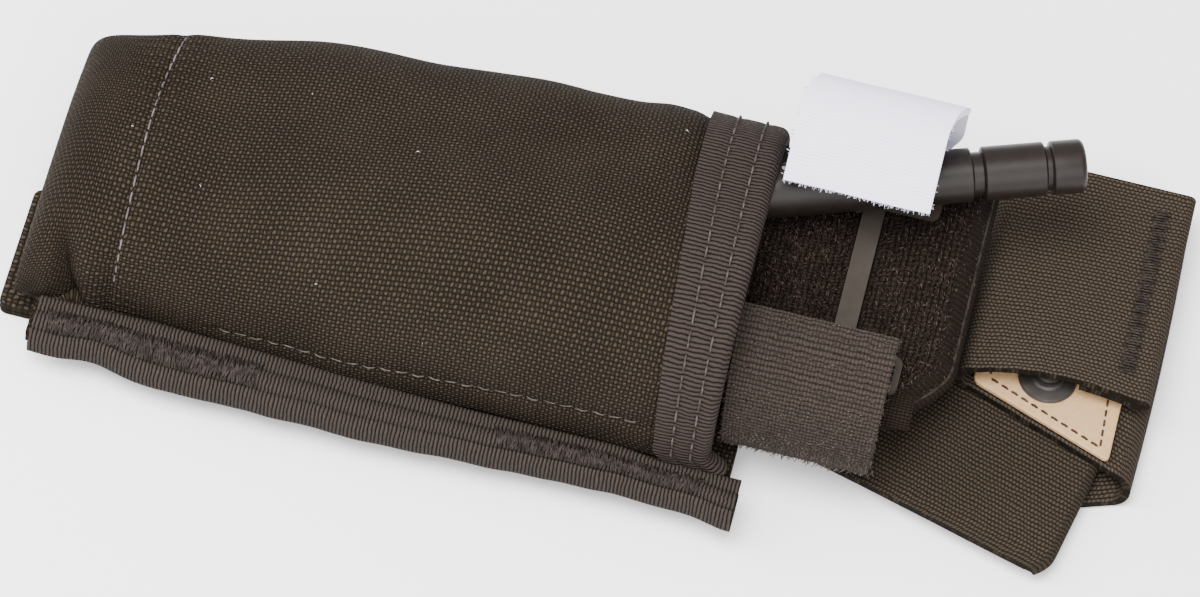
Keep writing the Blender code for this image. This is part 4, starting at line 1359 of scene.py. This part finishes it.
def hook_tab():
    """The looped hook tab: its back run on the clip, the fold at the bottom and the flap in front."""
    bent_strap("hook_tab_back", ROOT_ROUTE, 0.0012, HOOK_BASE, "tourniquet", "hook_tape",
               "hook_tab_root", 24, 0.0, 0.014)
    fold = [ROOT_ROUTE[-1], (-0.0288, 0.0124), (-0.0298, 0.0124)] + FLAP_ROUTE
    place, piece = bent_strap("hook_tab_front", fold, 0.0012, HOOK_BASE, None, "hook_tape",
                              "hook_tab_flap", 60, 0.0, 0.029,
                              lambda u, v: -0.0015 * (1 - v) * ease(u, 0.3, 1.0))
    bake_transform(piece)
    draw = random.Random(17)
    hooks = tape_hooks(place, draw)
    frayed = loose_fibres(place, draw, hooks)
    finish("hook_tab_hooks", hooks.mesh(), HOOK_FIBRE, "hook_tab", "hook_tape")
    fold_fibres = finish("hook_tab_frayed_fold", frayed.mesh(), HOOK_FIBRE, None, "hook_tape")
    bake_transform(fold_fibres)


# The tape at the band's tip is coloured with the darker pile base instead of its own grosgrain: a painted
# shade for the shadow it lies in.
def band_tip():
    def place(u, v):
        x = 0.0208 + 0.0062 * u
        return STACK @ Vector((x, -0.0206 + 0.0062 * v, 0.0048 + 0.0012 * ease(v, 0.1, 0.6)))

    mesh = slab(place, 10, 14, 0.0004, lambda u, v: (v * 10.0, u * 6.0))
    piece = finish("band_tip_tape", mesh, PILE_BASE, "tourniquet", "grosgrain", ("band_end_tip",))


def carried_over():
    """Moulded and pressed CAD pieces that keep their shape and get a finished material."""
    finishes = {
        "windlass_clip": CLIP_PLASTIC, "stabilisation_plate": CLIP_PLASTIC, "friction_buckle": CLIP_PLASTIC,
        "back_stiffener": BOARD, "snap_socket": SNAP_METAL,
        "strap_snap_stud_near": SNAP_METAL, "strap_snap_stud_far": SNAP_METAL,
        "back_snap_socket_near": SNAP_METAL, "back_snap_socket_far": SNAP_METAL,
    }
    for node, material in finishes.items():
        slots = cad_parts[node].material_slots
        if slots:
            slots[0].material = material
        else:
            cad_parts[node].data.materials.append(material)


# ---------------------------------------------------------------- stage

def camera():
    """A long lens from the near side, above, rolled a little."""
    azimuth, elevation, roll = (radians(a) for a in (5.485, 56.08, 8.92))
    distance = 1.400
    to_camera = Vector((sin(azimuth) * cos(elevation), -cos(azimuth) * cos(elevation),
                        sin(elevation)))
    level = Vector((cos(azimuth), sin(azimuth), 0.0))
    upright = to_camera.cross(level)
    right = level * cos(roll) + upright * sin(roll)
    up = upright * cos(roll) - level * sin(roll)
    made = bpy.data.objects.new("camera", bpy.data.cameras.new("camera"))
    made.matrix_world = Matrix.Translation(to_camera * distance) @ Matrix(
        (right, up, to_camera)).transposed().to_4x4()
    made.data.sensor_width = 36.0
    made.data.lens = 238.2
    made.data.clip_end = 20.0
    bpy.context.scene.collection.objects.link(made)
    bpy.context.scene.camera = made


def area_light(name, at, size, power, aim=(0.0, 0.0, 0.01)):
    light = bpy.data.lights.new(name, "AREA")
    light.shape = "DISK"
    light.size = size
    light.energy = power
    made = bpy.data.objects.new(name, light)
    made.location = at
    made.rotation_euler = (Vector(aim) - Vector(at)).to_track_quat("-Z", "Y").to_euler()
    bpy.context.scene.collection.objects.link(made)


def stage():
    bm = bmesh.new()
    bmesh.ops.create_grid(bm, x_segments=8, y_segments=8, size=3.0)
    mesh = bpy.data.meshes.new("floor")
    bm.to_mesh(mesh)
    bm.free()
    floor = bpy.data.objects.new("floor", mesh)
    floor.location = (0.0, 0.0, -0.0002)
    pale = Nodes("pale_floor", 0.9, specular=0.1)
    pale.colour(pale.mix(pale.noise(pale.solid(), 2.0), (0.93, 0.93, 0.93), (0.95, 0.95, 0.95)))
    mesh.materials.append(pale.material)
    bpy.context.scene.collection.objects.link(floor)
    world = bpy.data.worlds.new("studio")
    world.use_nodes = True
    world.node_tree.nodes["Background"].inputs["Color"].default_value = (1.0, 1.0, 1.0, 1.0)
    world.node_tree.nodes["Background"].inputs["Strength"].default_value = 1.15
    bpy.context.scene.world = world
    area_light("key", (-0.12, -0.25, 0.90), 0.6, 20.5)
    area_light("fill", (0.35, -0.75, 0.50), 0.8, 9.0)
    area_light("left_fill", (-0.50, -0.04, 0.42), 0.5, 5.0)


camera()
pouch_body()
shell_seams()
mouth_binding()
side_binding(-1, "side_binding_near", NEAR_ROWS)
side_binding(1, "side_binding_far", FAR_ROWS)
side_tacks()
back_of_pouch()
root_run()
turning_run()
end_run()
hem_tack()
snap_patch()
snap()
band_loop("outer_band_pile", BAND_X, 0.0, BAND_HEIGHT, BAND_HALF, BAND, "tourniquet_band")
band_loop("spare_band", (-0.1050, -0.0600), 0.0019, 0.0043, BAND_HALF - 0.001, 0.0007, "spare_band_fold")
pile_loops()
band_fold_edge()
windlass_rod()
inner_ribbon()
time_strap()
hook_tab()
band_tip()
carried_over()
stage()
